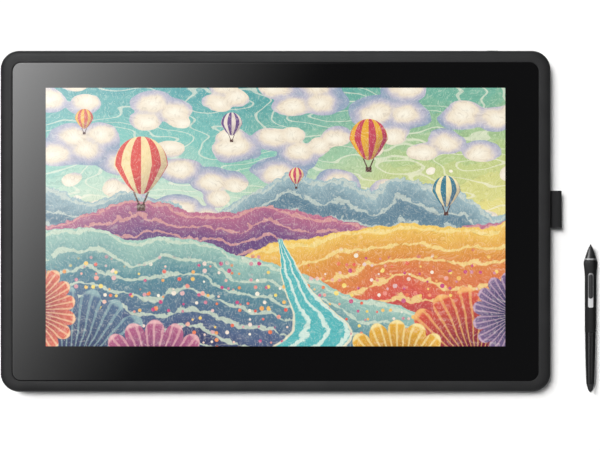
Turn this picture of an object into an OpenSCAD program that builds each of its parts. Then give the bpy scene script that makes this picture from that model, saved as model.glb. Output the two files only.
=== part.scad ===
// Graphics tablet with a screen, lying flat on its feet, with its pen beside it.
// Units are mm. X runs along the screen's width, Y up the screen, Z out of the screen.
// The origin is the middle of the whole set's footprint, on the desk.

/* [Body] */
// Width of the tablet
body_w = 571.2; // [540:0.1:600]
// Height of the tablet, up the screen
body_h = 354.3; // [345:0.1:370]
// Radius of the four outer corners
body_r = 19.5; // [17:0.5:24]
// Depth of the front bezel
bezel_depth = 20; // [19:0.5:24]
// Depth of the rear cover
rear_depth = 17.5; // [16.5:0.5:22]
// Wall of the bezel and of the rear cover
wall = 2.2; // [1.8:0.1:2.6]
// Rounding of the bezel's outer front edge
edge_r = 6.5; // [3:0.5:7]
// Rounding of the rear cover's outer edge
belly_r = 14; // [10:0.5:15]
// How far the rear cover stands back from the bezel's side
rear_inset = 0.5; // [0.2:0.1:1]
// Height of the rubber feet
foot_h = 2.5; // [1.5:0.5:5]

/* [Screen] */
// Bezel beside the glass
border_x = 12.95; // [10:0.05:16]
// Bezel above and below the glass
border_y = 11.75; // [10:0.05:16]
// Corner radius of the cover glass
glass_r = 9.5; // [6:0.5:12]
// Thickness of the cover glass
glass_t = 2.2; // [1.5:0.1:2.6]
// How far the glass lies below the bezel's rim
glass_sink = 0.6; // [0.2:0.1:1]
// Black border beside the picture
mask_x = 34.35; // [30:0.05:45]
// Black border above the picture
mask_top = 26.95; // [24:0.05:40]
// Black border below the picture
mask_low = 35.75; // [30:0.05:50]
// Thickness of the foam between glass and panel
gasket_t = 0.8; // [0.5:0.1:1.2]
// Thickness of the liquid crystal panel
cell_t = 2.4; // [1.6:0.1:2.8]
// Thickness of the light guide
guide_t = 4; // [3:0.1:4.4]
// Thickness of the backlight tray's sheet
tray_t = 1.2; // [0.8:0.1:1.5]
// Thickness of the pen sensor board
sensor_t = 1.6; // [1:0.1:2]
// Thickness of the chassis plate
chassis_t = 1.5; // [1:0.1:2]

/* [Electronics] */
// Width of the main board
board_w = 90; // [84:1:96]
// Height of the main board
board_h = 80; // [70:1:90]
// Gap between the chassis and the main board
post_h = 4.8; // [4:0.1:5.5]
// Depth of the port bay from the top edge
bay_in = 44.5; // [40:0.5:48]
// Spacing of the wall-mount holes
vesa_pitch = 100; // [75:25:100]
// Gap between the stand's recess and the wall-mount holes
vesa_gap = 18; // [12:1:40]
// Travel of the power button
button_travel = 0.6; // [0.3:0.1:0.8]

/* [Stand] */
// Width of the fold-out stand
stand_w = 300; // [290:1:306]
// Length of the stand from its hinge to its edge
stand_l = 96; // [90:1:100]
// Thickness of the stand
stand_t = 7; // [5.5:0.5:7]
// Distance of the hinge from the top edge
hinge_in = 48.5; // [46:0.5:54]
// Diameter of the hinge pins
hinge_pin_d = 5; // [4:0.5:6]
// Width of the finger notch at the stand's edge
notch_w = 44; // [36:1:60]

/* [Pen loop] */
// Length of the loop along the tablet's side
loop_len = 38.6; // [30:0.1:50]
// How far the loop stands out of the side
loop_reach = 12.1; // [9:0.1:14]
// Height of the loop
loop_h = 12; // [11:0.1:12]
// Thickness of the webbing
loop_t = 1.4; // [1:0.1:1.6]
// How far the loop's middle lies above the tablet's centre
loop_up = 12.6; // [0:0.1:30]

/* [Pen] */
// Length of the pen
pen_len = 155.2; // [152:0.1:160]
// Diameter of the flare in front of the fingers
flare_d = 14.6; // [13:0.05:15]
// Diameter of the grip behind the flare
grip_d = 12.2; // [12:0.05:13]
// Diameter of the grip at its rear end
grip_end_d = 11.85; // [11.5:0.05:12.4]
// Diameter of the barrel at its tail
tail_d = 8.7; // [8.6:0.05:9.4]
// Diameter of the nib
nib_d = 1.8; // [1.4:0.1:2]
// Width of the side switch's rocker
rocker_w = 3.9; // [3:0.05:4.2]
// Travel of the nib and of the eraser
pen_travel = 0.5; // [0.2:0.1:0.6]
// Distance of the pen's axis from the tablet's side
pen_off = 44.4; // [30:0.1:90]
// How far the pen's tail reaches past the tablet's front edge
pen_over = 2.1; // [0:0.1:20]

/* [Hidden] */
$fn = 64;
eps = 0.5;

// Levels, from the desk up
z_back = foot_h;
z_part = z_back + rear_depth;
z_front = z_part + bezel_depth;
glass_top = z_front - glass_sink;
glass_bot = glass_top - glass_t;
ledge_z = glass_bot - gasket_t;
cell_bot = ledge_z - cell_t;
guide_bot = cell_bot - guide_t;
tray_bot = guide_bot - tray_t;
sensor_bot = tray_bot - sensor_t;
shield_t = 0.5;
shield_bot = sensor_bot - shield_t;
chassis_bot = shield_bot - chassis_t;
board_t = 1.6;
board_top = chassis_bot - post_h;
board_bot = board_top - board_t;
flange_t = 2;
flange_bot = ledge_z - flange_t;

// Outlines of the flat layers
glass_w = body_w - 2 * border_x;
glass_h = body_h - 2 * border_y;
screen_w = glass_w - 2 * mask_x;
screen_h = glass_h - mask_top - mask_low;
screen_raise = (mask_low - mask_top) / 2;
glass_gap = 0.3;
cell_w = screen_w + 14;
cell_h = screen_h + 14;
tray_w = cell_w + 1 + 2 * tray_t;
tray_h = cell_h + 1 + 2 * tray_t;
guide_gap = 3;
sensor_w = tray_w - 4;
sensor_h = tray_h - 4;
chassis_in = 21.5;
chassis_w = body_w - 2 * chassis_in;
chassis_h = body_h - 2 * chassis_in;

// Case screws and the bosses they turn into
boss_in = 17;
boss_r = 3.8;
screw_r = 1.5;
head_r = 2.6;
head_t = 1.6;
seat_z = z_back + 4.5;
case_x = [0.15 * body_w, body_w / 2 - 35];
case_y = [0.17 * body_h, body_h / 2 - 27];
case_spots = [
    for (x = case_x, s = [-1, 1], t = [-1, 1]) [s * x, t * (body_h / 2 - boss_in)],
    for (y = case_y, s = [-1, 1], t = [-1, 1]) [s * (body_w / 2 - boss_in), t * y]
];
chassis_boss_in = 24.6;
chassis_boss_r = 2.8;
chassis_spots = [
    for (x = [0.07, 0.29] * body_w, s = [-1, 1], t = [-1, 1]) [s * x, t * (body_h / 2 - chassis_boss_in)],
    for (s = [-1, 1], t = [-1, 1]) [s * (body_w / 2 - chassis_boss_in), t * 0.27 * body_h]
];

// Stand and its hinge
hinge_up = body_h / 2 - hinge_in;
barrel_r = 4.6;
stand_skin = 0.8;
stand_r = 8;
axis_z = z_back + stand_skin + barrel_r;
pin_r = hinge_pin_d / 2;
pin_run = 0.05;
barrel_in = 45;
barrel_half = stand_w / 2 - barrel_in;
pin_in = 17;
pin_play = 2;
ear_x = barrel_half + 2;
ear_t = 4;
bracket_w = 28;
bracket_y = 6;
recess_deep = 11.5;
recess_top = z_back + recess_deep;
recess_roof = 2.2;
recess_gap = 2;
stand_foot_t = 3;
strip_in = 20;
ear_w = 10;
recess_y1 = hinge_up + 7;
recess_y0 = hinge_up - stand_l - stand_foot_t - 1;
notch_in = 14;
notch_deep = 8;
bracket_pitch = 11;
bracket_screws_x = [ear_x + bracket_pitch, ear_x + 2 * bracket_pitch];
vesa_y = recess_y0 - vesa_gap - vesa_pitch / 2;
vesa_spots = [for (x = [-1, 1], y = [-1, 1]) [0, vesa_y] + [x, y] * vesa_pitch / 2];

// Port bay and main board, between the stand and the right foot
foot_in = 27;
foot_l = 36;
foot_w = 10;
foot_y = body_h / 3;
bay_wall = 2;
bay_gap = 5.8;
foot_gap = 8;
bay_x0 = stand_w / 2 + recess_gap + recess_roof + bay_gap;
bay_x1 = body_w / 2 - foot_in - foot_w / 2 - foot_gap;
bay_w = bay_x1 - bay_x0;
bay_x = (bay_x0 + bay_x1) / 2;
bay_y = body_h / 2 - bay_in;
bay_top = z_part - 1.1;
board_x = bay_x + 4.5;
board_y1 = bay_y - bay_wall - 0.5;
post_r = 3;
hole_side = 5;
hole_end = 20;
post_bore = 1.3;
chip_t = 1.8;
chip_big = 22;
chip_mid = 14;
chip_small = 10;
board_chip_spots = [
    [-0.24, -0.3, chip_big], [0.09, -0.25, chip_mid],
    [-0.09, 0.08, chip_small], [0.27, 0.03, chip_small]
];
port_h = 6;
port_l = 14;
port_mouth = bay_y - 0.4;
hdmi_w = 15;
usb_w = 13.4;
dc_w = 9;
hdmi_x = bay_x - 0.29 * bay_w;
usb_x = bay_x;
dc_x = bay_x + 0.29 * bay_w;
port_fit = 0.3;

// Power button in the top wall
button_x = body_w / 2 - 60;
button_z = z_part + 9;
button_w = 12;
button_h = 4.4;
button_in = 5.5;
vent_x = 140;
vent_step = 7.5;
vent_w = 3;
vent_h = 8;
vent_l = 44;

// Pen loop
loop_mid = z_part + 3.4;
loop_r = min(loop_h, loop_reach - 0.2) / 2;
loop_fit = 0.25;
loop_in = 6;
loop_bar = 0.9;

// Pen stations, from the tip along the pen
nib_out = 2.05;
nose_end = 14.6;
ring_end = 16.7;
flare_s = 20;
waist_s = 33.4;
grip_end = 92.15;
cap_len = 8.7;
tail_s = pen_len - cap_len;
core_r = 4.6;
core_bore = 3.9;
core_in = 0.03;
plate_s0 = 29.85;
plate_s1 = 66.15;
plate_w = 6;
plate_r = grip_d / 2 + 0.15;
rocker_s0 = 31.65;
rocker_s1 = 56.55;
rocker_s = (rocker_s0 + rocker_s1) / 2;
rocker_y = 5.4;
rocker_gap = 0.25;
peg_off = 6.25;
nib_end = 26.4;
cap_r = 3.93;
nub_r = 3.1;
nub_s = tail_s + 3.4;
cap_in = tail_s - 7.3;

// The pen rests on its flare and on the end of its grip
pen_lean = atan((flare_d - grip_end_d) / 2 / (grip_end - flare_s));
pen_axis_z = flare_s * sin(pen_lean) + flare_d / 2 * cos(pen_lean);

// The set's middle, in the tablet's own frame
pen_x = body_w / 2 + pen_off;
pen_tip_y = -body_h / 2 - pen_over + pen_len * cos(pen_lean);
mid_x = (-body_w / 2 + pen_x + flare_d / 2) / 2;
mid_y = -pen_over / 2;

// Shared shapes

module rrect(w, h, r) {
    square([w - 2 * r, h], center = true);
    square([w, h - 2 * r], center = true);
    for (x = [-1, 1], y = [-1, 1]) translate([x * (w / 2 - r), y * (h / 2 - r)]) circle(r);
}

module layer(w, h, r, z0, z1) {
    translate([0, 0, z0]) linear_extrude(z1 - z0) rrect(w, h, r);
}

module sheet(w, h, z0, z1) {
    translate([-w / 2, -h / 2, z0]) cube([w, h, z1 - z0]);
}

module slot2(w, h) {
    square([w - h, h], center = true);
    for (s = [-1, 1]) translate([s * (w - h) / 2, 0]) circle(h / 2);
}

// Turns a side profile, drawn outward from the corner's centre, into a rounded slab
module swept(w, h, r, z0, z1) {
    for (a = [0, 180]) rotate(a) translate([w / 2 - r, 0, 0]) rotate([90, 0, 0])
        linear_extrude(h - 2 * r, center = true) children();
    for (a = [90, 270]) rotate(a) translate([h / 2 - r, 0, 0]) rotate([90, 0, 0])
        linear_extrude(w - 2 * r, center = true) children();
    for (s = [0, 1], t = [0, 1]) mirror([s, 0, 0]) mirror([0, t, 0])
        translate([w / 2 - r, h / 2 - r, 0]) rotate_extrude(angle = 90) children();
    sheet(w - 2 * r, h - 2 * r, z0, z1);
}

module quarter(r) {
    intersection() {
        circle(r);
        square([r, r]);
    }
}

module top_round(r, a, z0, z1) {
    translate([0, z0]) square([r, z1 - a - z0]);
    translate([0, z1 - a]) square([r - a, a]);
    translate([r - a, z1 - a]) quarter(a);
}

module foot_round(r, a, z0, z1) {
    translate([0, z0 + a]) square([r, z1 - a - z0]);
    translate([0, z0]) square([r - a, a]);
    translate([r - a, z0 + a]) mirror([0, 1]) quarter(a);
}

module rod_x(x0, x1, r) {
    translate([x0, 0, 0]) rotate([0, 90, 0]) cylinder(h = x1 - x0, r = r);
}

module rod_y(y0, y1, r) {
    translate([0, y1, 0]) rotate([90, 0, 0]) cylinder(h = y1 - y0, r = r);
}

module tablet() {
    translate([-mid_x, -mid_y, 0]) children();
}

module at_screen() {
    tablet() translate([0, screen_raise, 0]) children();
}

module at_port(x) {
    tablet() translate([x, port_mouth, board_bot - port_h]) children();
}

module at_hinge() {
    tablet() translate([0, hinge_up, axis_z]) children();
}

module pen() {
    tablet() translate([pen_x, pen_tip_y, pen_axis_z]) rotate([90 + pen_lean, 0, 0]) children();
}

// Bezel, glass and the layers under it

module front_bezel() color([0.24, 0.24, 0.25]) tablet() {
    difference() {
        swept(body_w, body_h, body_r, z_part, z_front) top_round(body_r, edge_r, z_part, z_front);
        layer(glass_w + 2 * glass_gap, glass_h + 2 * glass_gap, glass_r + glass_gap,
            ledge_z, z_front + eps);
        translate([0, screen_raise, 0])
            sheet(tray_w + 3, tray_h + 3, flange_bot - eps, ledge_z + eps);
        layer(body_w - 2 * wall, body_h - 2 * wall, body_r - wall, z_part - eps, flange_bot);
        translate([body_w / 2 - wall - eps, loop_up - loop_len / 2 - loop_fit,
            loop_mid - loop_t - loop_fit])
            cube([wall + 2 * eps, loop_len + 2 * loop_fit, 2 * (loop_t + loop_fit)]);
        translate([button_x, body_h / 2 + eps, button_z]) rotate([90, 0, 0])
            linear_extrude(wall + 2 * eps) slot2(button_w + 0.5, button_h + 0.5);
        translate([button_x + 14, 0, button_z]) rod_y(body_h / 2 - wall - eps, body_h / 2 + eps, 1.05);
        for (i = [0:15]) translate([-vent_x + vent_step * i, body_h / 2 + eps, button_z]) rotate([90, 0, 0])
            linear_extrude(wall + 2 * eps) rotate(90) slot2(vent_h, vent_w);
    }
}

// Bosses under the bezel's ledge, for the case screws and the chassis screws
module screw_bosses() color([0.2, 0.2, 0.21]) tablet() {
    for (p = case_spots) translate([p.x, p.y, z_part]) difference() {
        cylinder(h = flange_bot - z_part, r = boss_r);
        translate([0, 0, -eps]) cylinder(h = flange_bot - z_part - 2, r = screw_r + 0.05);
    }
    for (p = chassis_spots) translate([p.x, p.y, chassis_bot + chassis_t]) difference() {
        cylinder(h = flange_bot - chassis_bot - chassis_t, r = chassis_boss_r);
        translate([0, 0, -eps]) cylinder(h = flange_bot - chassis_bot - chassis_t - 1, r = screw_r - 0.25);
    }
}

module cover_glass() color([0.08, 0.08, 0.085]) tablet() {
    layer(glass_w, glass_h, glass_r, glass_bot, glass_top);
}

module glass_gasket() color([0.05, 0.05, 0.05]) tablet() {
    translate([0, 0, ledge_z]) linear_extrude(gasket_t) difference() {
        rrect(glass_w - 2, glass_h - 2, glass_r - 1);
        translate([0, screen_raise]) rrect(screen_w + 6, screen_h + 6, 2);
    }
}

module lcd_panel() color([0.45, 0.72, 0.7]) at_screen() {
    sheet(cell_w, cell_h, cell_bot, ledge_z);
}

module light_guide() color([0.9, 0.93, 0.95]) at_screen() {
    translate([0, guide_gap / 2, 0]) sheet(cell_w, cell_h - guide_gap, guide_bot, cell_bot);
}

module led_strip() color([0.95, 0.9, 0.7]) at_screen() {
    translate([0, -cell_h / 2 + guide_gap / 2 - 0.4, 0])
        sheet(cell_w - 12, guide_gap - 1.2, guide_bot, cell_bot - 0.4);
}

module backlight_tray() color("silver") at_screen() {
    difference() {
        sheet(tray_w, tray_h, tray_bot, ledge_z);
        sheet(cell_w + 1, cell_h + 1, guide_bot, ledge_z + eps);
    }
}

module sensor_board() color([0.1, 0.35, 0.2]) at_screen() {
    sheet(sensor_w, sensor_h, sensor_bot, tray_bot);
}

module ribbon_slot() {
    translate([board_x - 15, board_y1 - board_h + 3, shield_bot - chassis_t - eps])
        cube([30, 7, chassis_t + shield_t + 2 * eps]);
}

module sensor_shield() color([0.7, 0.7, 0.68]) tablet() {
    difference() {
        translate([0, screen_raise, 0]) sheet(sensor_w, sensor_h, shield_bot, sensor_bot);
        ribbon_slot();
    }
}

module chassis_plate() color([0.62, 0.63, 0.65]) tablet() {
    difference() {
        sheet(chassis_w, chassis_h, chassis_bot, shield_bot);
        ribbon_slot();
        for (p = chassis_spots) translate([p.x, p.y, chassis_bot - eps])
            cylinder(h = chassis_t + 2 * eps, r = screw_r + 0.2);
    }
}

module chassis_screws() color("gray") tablet() {
    for (p = chassis_spots) translate([p.x, p.y, chassis_bot]) {
        translate([0, 0, -head_t]) cylinder(h = head_t, r = head_r);
        translate([0, 0, -0.2]) cylinder(h = flange_bot - chassis_bot - 2, r = screw_r - 0.3);
    }
}

// Main board, its sockets and the power button

board_spots = [for (s = [-1, 1], t = [-1, 1]) [board_x + s * (board_w / 2 - hole_side),
    board_y1 - board_h / 2 + t * (board_h / 2 - hole_end)]];

module board_posts() color([0.75, 0.66, 0.4]) tablet() {
    for (p = board_spots) translate([p.x, p.y, board_top]) difference() {
        cylinder(h = post_h, r = post_r);
        translate([0, 0, -eps]) cylinder(h = post_h - 0.5, r = post_bore);
    }
}

module main_board() color([0.08, 0.3, 0.18]) tablet() {
    difference() {
        translate([board_x - board_w / 2, board_y1 - board_h, board_bot]) cube([board_w, board_h, board_t]);
        for (p = board_spots) translate([p.x, p.y, board_bot - eps])
            cylinder(h = board_t + 2 * eps, r = post_bore + 0.3);
    }
}

module board_chips() color([0.1, 0.1, 0.11]) tablet() translate([board_x, board_y1 - board_h / 2, 0]) {
    for (c = board_chip_spots)
        translate([c[0] * board_w, c[1] * board_h, board_bot - chip_t]) cube([c[2], c[2], chip_t]);
}

module board_screws() color("gray") tablet() {
    for (p = board_spots) translate([p.x, p.y, board_bot]) {
        translate([0, 0, -head_t]) cylinder(h = head_t, r = head_r);
        translate([0, 0, -0.2]) cylinder(h = board_t + post_h - 1, r = post_bore - 0.1);
    }
}

module hdmi_socket() color("silver") at_port(hdmi_x) difference() {
    translate([-hdmi_w / 2, -port_l, 0]) cube([hdmi_w, port_l, port_h]);
    difference() {
        translate([-hdmi_w / 2 + 0.6, -11, 0.7]) cube([hdmi_w - 1.2, 11 + eps, port_h - 1.4]);
        translate([-hdmi_w / 2 + 2.2, -11, port_h / 2 - 0.6]) cube([hdmi_w - 4.4, 9.5, 1.2]);
    }
}

module usb_socket() color("silver") at_port(usb_x) difference() {
    translate([-usb_w / 2, -port_l, 0]) cube([usb_w, port_l, port_h]);
    difference() {
        translate([-usb_w / 2 + 0.5, -12, 0.5]) cube([usb_w - 1, 12 + eps, port_h - 1]);
        translate([-usb_w / 2 + 1.2, -12, port_h - 2.9]) cube([usb_w - 2.4, 10.5, 1.8]);
    }
}

module dc_socket() color([0.1, 0.1, 0.1]) at_port(dc_x) difference() {
    translate([-dc_w / 2, -13, 0]) cube([dc_w, 13, port_h]);
    translate([0, 0, port_h / 2]) difference() {
        rod_y(-10, eps, 2.5);
        rod_y(-10.5, -1, 0.6);
    }
}

module panel_ribbon() color([0.7, 0.5, 0.2]) tablet() translate([board_x - 12, board_y1 - board_h + 6, 0]) {
    translate([0, 0, board_top]) cube([24, 0.4, sensor_bot - board_top]);
    translate([0, 0, board_top]) cube([24, 12, 0.4]);
}

module power_button() color([0.2, 0.2, 0.21]) tablet()
    translate([button_x, body_h / 2, button_z]) rotate([90, 0, 0]) {
    translate([0, 0, -0.4]) linear_extrude(button_in + 0.4) slot2(button_w, button_h);
    translate([0, 0, wall + 0.15]) linear_extrude(1.2) slot2(button_w + 3, button_h + 3);
}

module power_switch() color([0.1, 0.3, 0.18]) tablet() translate([button_x, body_h / 2, 0]) {
    translate([-button_w - 8, -24, flange_bot - board_t]) cube([2 * button_w + 16, 17.5, board_t]);
    translate([-3.5, -button_in - button_travel - 6.4, button_z - 2])
        cube([7, 6, flange_bot - board_t - button_z + 2.2]);
}

module power_light_pipe() color([0.9, 0.9, 0.92]) tablet() translate([button_x + 14, 0, button_z]) {
    rod_y(body_h / 2 - 9, body_h / 2, 1);
    translate([-1.2, body_h / 2 - 10, -1.2]) cube([2.4, 3, flange_bot - board_t - button_z + 1.2]);
}

// Rear cover

module stand_space(grow, z1) {
    translate([-stand_w / 2 - recess_gap - grow, recess_y0 - grow, z_back - eps])
        cube([stand_w + 2 * recess_gap + 2 * grow, recess_y1 - recess_y0 + 2 * grow, z1 - z_back + eps]);
}

module notch_space(grow, z1) {
    translate([-notch_w / 2 - grow, recess_y0 - notch_in - grow, z_back - eps])
        cube([notch_w + 2 * grow, notch_in + 2 * grow, z1 - z_back + eps]);
}

module rear_form(grow, z0, z1) {
    in = rear_inset + grow;
    swept(body_w - 2 * in, body_h - 2 * in, body_r - in, z0, z1)
        foot_round(body_r - in, belly_r - grow, z0, z1);
}

module rear_cover() color([0.17, 0.17, 0.18]) tablet() {
    difference() {
        union() {
            difference() {
                rear_form(0, z_back, z_part);
                rear_form(wall, z_back + wall, z_part + belly_r);
            }
            intersection() {
                union() {
                    translate([0, 0, eps]) stand_space(recess_roof, recess_top + recess_roof - eps);
                    translate([0, 0, eps])
                        notch_space(recess_roof, z_back + notch_deep + recess_roof - eps);
                }
                sheet(body_w, body_h, z_back + 0.2, z_part);
            }
            translate([bay_x - bay_w / 2 - bay_wall, bay_y - bay_wall, z_back + 0.2])
                cube([bay_w + 2 * bay_wall, bay_in - belly_r + bay_wall - 2, z_part - z_back - 0.2]);
            translate([bay_x - bay_w / 2 - bay_wall, bay_y, z_back + belly_r])
                cube([bay_w + 2 * bay_wall, bay_in - wall, z_part - z_back - belly_r]);
            for (p = case_spots) translate([p.x, p.y, z_back + 0.8])
                cylinder(h = z_part - z_back - 0.8, r = boss_r + 0.4);
            for (s = [-1, 1], x = bracket_screws_x) translate([s * x, hinge_up, recess_top + 0.2])
                cylinder(h = z_part - recess_top - 0.2, r = 3.6);
        }
        stand_space(0, recess_top);
        notch_space(0, z_back + notch_deep);
        translate([bay_x - bay_w / 2, bay_y, z_back - eps])
            cube([bay_w, bay_in + eps, bay_top - z_back + eps]);
        for (p = [[hdmi_x, hdmi_w], [usb_x, usb_w], [dc_x, dc_w]])
            translate([p[0] - p[1] / 2 - port_fit, bay_y - bay_wall - eps, board_bot - port_h - port_fit])
                cube([p[1] + 2 * port_fit, bay_wall + 2 * eps, bay_top - board_bot + port_h + port_fit]);
        for (p = case_spots) translate([p.x, p.y, 0]) {
            translate([0, 0, z_back - eps]) cylinder(h = seat_z - z_back + eps, r = 3.1);
            translate([0, 0, seat_z - eps]) cylinder(h = z_part, r = screw_r + 0.15);
        }
        for (s = [-1, 1], x = bracket_screws_x) translate([s * x, hinge_up, recess_top - eps])
            cylinder(h = z_part - recess_top, r = screw_r);
        for (p = vesa_spots) translate([p.x, p.y, z_back - eps]) cylinder(h = wall + 2 * eps, r = 4.2);
        for (s = [-1, 1], i = [0:9])
            translate([s * (bay_x0 + bay_w * (0.16 + 0.095 * i)), -0.09 * body_h, z_back - eps])
                linear_extrude(wall + 2 * eps) rotate(90) slot2(vent_l, vent_w);
    }
}

module vesa_posts() color([0.6, 0.6, 0.62]) tablet() {
    for (p = vesa_spots) translate([p.x, p.y, z_back])
        difference() {
            cylinder(h = chassis_bot - z_back, r = 4);
            translate([0, 0, -eps]) cylinder(h = 10, r = 2);
        }
}

module case_screws() color([0.15, 0.15, 0.15]) tablet() {
    for (p = case_spots) translate([p.x, p.y, seat_z]) difference() {
        union() {
            translate([0, 0, -2]) cylinder(h = 2, r = 2.8);
            translate([0, 0, -0.2]) cylinder(h = z_part - seat_z + 9, r = screw_r);
        }
        translate([0, 0, -2 - eps]) cylinder(h = 1 + eps, r = 1.3, $fn = 6);
    }
}

module rubber_feet() color([0.07, 0.07, 0.07]) tablet() {
    for (s = [-1, 1], t = [-1, 1]) translate([s * (body_w / 2 - foot_in), t * foot_y, 0])
        linear_extrude(foot_h) rotate(90) slot2(foot_l, foot_w);
}

// Fold-out stand

module stand_panel() color([0.2, 0.2, 0.21]) at_hinge() {
    difference() {
        union() {
            translate([0, 0, -barrel_r]) linear_extrude(stand_t) {
                translate([-stand_w / 2, -stand_l + stand_r]) square([stand_w, stand_l - stand_r - 8]);
                translate([-stand_w / 2 + stand_r, -stand_l]) square([stand_w - 2 * stand_r, stand_r + 1]);
                for (s = [-1, 1]) translate([s * (stand_w / 2 - stand_r), -stand_l + stand_r])
                    circle(stand_r);
            }
            translate([-barrel_half, -8.5, -barrel_r]) cube([2 * barrel_half, 8.5, stand_t]);
            rod_x(-barrel_half, barrel_half, barrel_r);
        }
        for (s = [-1, 1]) scale([s, 1, 1])
            rod_x(barrel_half - pin_in - pin_play, barrel_half + eps, pin_r + pin_run);
    }
}

module stand_foot() color([0.07, 0.07, 0.07]) at_hinge() {
    translate([-stand_w / 2 + strip_in, -stand_l - stand_foot_t, -barrel_r + 1])
        cube([stand_w - 2 * strip_in, stand_foot_t, stand_t - 2]);
}

module hinge_bracket() color([0.55, 0.56, 0.58]) at_hinge() {
    difference() {
        union() {
            translate([ear_x, -bracket_y, recess_top - axis_z - 1.5]) cube([bracket_w, 2 * bracket_y, 1.5]);
            translate([ear_x, -ear_w / 2, 0]) cube([ear_t, ear_w, recess_top - axis_z - 1]);
            rod_x(ear_x, ear_x + ear_t, ear_w / 2);
        }
        rod_x(ear_x - eps, ear_x + ear_t + eps, pin_r + 0.02);
        for (x = bracket_screws_x) translate([x, 0, 0]) cylinder(h = recess_top, r = screw_r + 0.15);
    }
}

module hinge_bracket_left() translate([-2 * mid_x, 0, 0]) mirror([1, 0, 0]) hinge_bracket();

module hinge_bracket_right() hinge_bracket();

module hinge_pins() color("silver") at_hinge() {
    rod_x(barrel_half - pin_in, ear_x + ear_t + 1, pin_r);
    rod_x(-ear_x - ear_t - 1, pin_in - barrel_half, pin_r);
}

module hinge_washers() color([0.6, 0.6, 0.58]) at_hinge() difference() {
    for (x = [barrel_half + 0.3, -ear_x + 0.3]) rod_x(x, x + 1.4, barrel_r - 0.2);
    rod_x(-ear_x, ear_x, pin_r + 0.1);
}

module bracket_screws() color("gray") at_hinge() {
    for (s = [-1, 1], x = bracket_screws_x) translate([s * x, 0, recess_top - axis_z - 1.5]) {
        translate([0, 0, -1.4]) cylinder(h = 1.4, r = 2.4);
        translate([0, 0, -0.2]) cylinder(h = 5.5, r = screw_r - 0.05);
    }
}

// Pen loop, a band bent to an eye, its two ends sewn together, put through one slot and held by a bar

module loop_form() {
    x0 = body_w / 2 - loop_in;
    x1 = body_w / 2 + loop_reach - loop_r;
    translate([x0, loop_mid - loop_t - loop_bar]) square([loop_in - wall - 0.4, 2 * (loop_t + loop_bar)]);
    difference() {
        union() {
            translate([x1, loop_mid]) circle(loop_r);
            translate([x0, loop_mid - loop_t]) square([x1 - x0, 2 * loop_t]);
        }
        translate([x1, loop_mid]) circle(loop_r - loop_t);
    }
}

module pen_loop() color([0.15, 0.15, 0.155]) tablet()
    translate([0, loop_up + loop_len / 2, 0]) rotate([90, 0, 0]) linear_extrude(loop_len) loop_form();

// Pen, turned about its axis from the tip

function nose_r(s) = 1.3 + 0.434 * (s - nib_out) - 0.0055 * pow(s - nib_out, 2);
function flare_r(s) = grip_d / 2
    + (flare_d - grip_d) / 4 * (1 + cos(180 * (s - flare_s) / (waist_s - flare_s)));
function barrel_at(t) = grip_end_d / 2 - (grip_end_d - tail_d) / 2 * (0.56 * t + 0.44 * pow(t, 3));

module switch_form(w, s0, s1) {
    translate([0, 0, (s0 + s1) / 2]) rotate([-90, 0, 0]) linear_extrude(12) rotate(90) slot2(s1 - s0, w);
}

module tube(r, bore, s0, s1) {
    translate([0, 0, s0]) difference() {
        cylinder(h = s1 - s0, r = r);
        translate([0, 0, -eps]) cylinder(h = s1 - s0 + 2 * eps, r = bore);
    }
}

module pen_nib() color([0.12, 0.12, 0.12]) pen() {
    rotate_extrude() polygon([[0, 0], [0.4, 0.06], [nib_d / 2 - 0.15, 0.4], [nib_d / 2, 0.9],
        [nib_d / 2, nib_end], [0, nib_end]]);
}

module pen_nose_cone() color([0.15, 0.15, 0.16]) pen() {
    rotate_extrude() polygon(concat(
        [for (i = [0:10]) let (s = nib_out + (nose_end - nib_out) * i / 10) [nose_r(s), s]],
        [[core_r + core_in, nose_end], [core_r + core_in, nose_end - 2.6], [3, nose_end - 2.6], [3, 8],
            [nib_d / 2 + 0.15, 7], [nib_d / 2 + 0.15, nib_out]]));
}

module pen_ring() color([0.65, 0.65, 0.66]) pen() {
    rotate_extrude() polygon([[core_r + core_in, nose_end], [nose_r(nose_end) + 0.1, nose_end],
        [nose_r(nose_end) + 0.35, nose_end + 0.4], [nose_r(nose_end) + 0.45, ring_end],
        [core_r + core_in, ring_end]]);
}

module pen_core() color([0.2, 0.2, 0.2]) pen() {
    difference() {
        tube(core_r, core_bore, nose_end - 2.5, grip_end + 6);
        switch_form(rocker_w + 0.8, rocker_s0 - 0.4, rocker_s1 + 0.4);
    }
}

module pen_grip() color([0.14, 0.14, 0.145]) pen() {
    difference() {
        rotate_extrude() polygon(concat(
            [[core_r + core_in, ring_end], [nose_r(nose_end) + 0.5, ring_end],
                [flare_d / 2 - 0.12, flare_s - 0.9]],
            [for (i = [0:12]) let (s = flare_s + (waist_s - flare_s) * i / 12) [flare_r(s), s]],
            [[grip_end_d / 2, grip_end], [core_r + core_in, grip_end]]));
        switch_form(plate_w + 0.1, plate_s0 - 0.05, plate_s1 + 0.05);
    }
}

module pen_ferrite() color([0.25, 0.24, 0.24]) pen() tube(2.2, nib_d / 2 + 0.2, 9, 25);

module pen_coil() color([0.7, 0.4, 0.2]) pen() tube(2.9, 2.22, 9.5, 22);

module pen_force_sensor() color([0.5, 0.5, 0.52]) pen() 
    translate([0, 0, nib_end + pen_travel + 0.3]) cylinder(h = 3.6, r = core_bore - 0.05);

module pen_board() color([0.1, 0.32, 0.2]) pen() translate([-3.7, -1, 33]) cube([7.4, 1, 55]);

module pen_tact_switches() color([0.3, 0.3, 0.3]) pen() {
    for (s = [-1, 1]) translate([-1.7, 0, rocker_s + s * peg_off - 1.5]) cube([3.4, 2.6, 3]);
}

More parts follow.
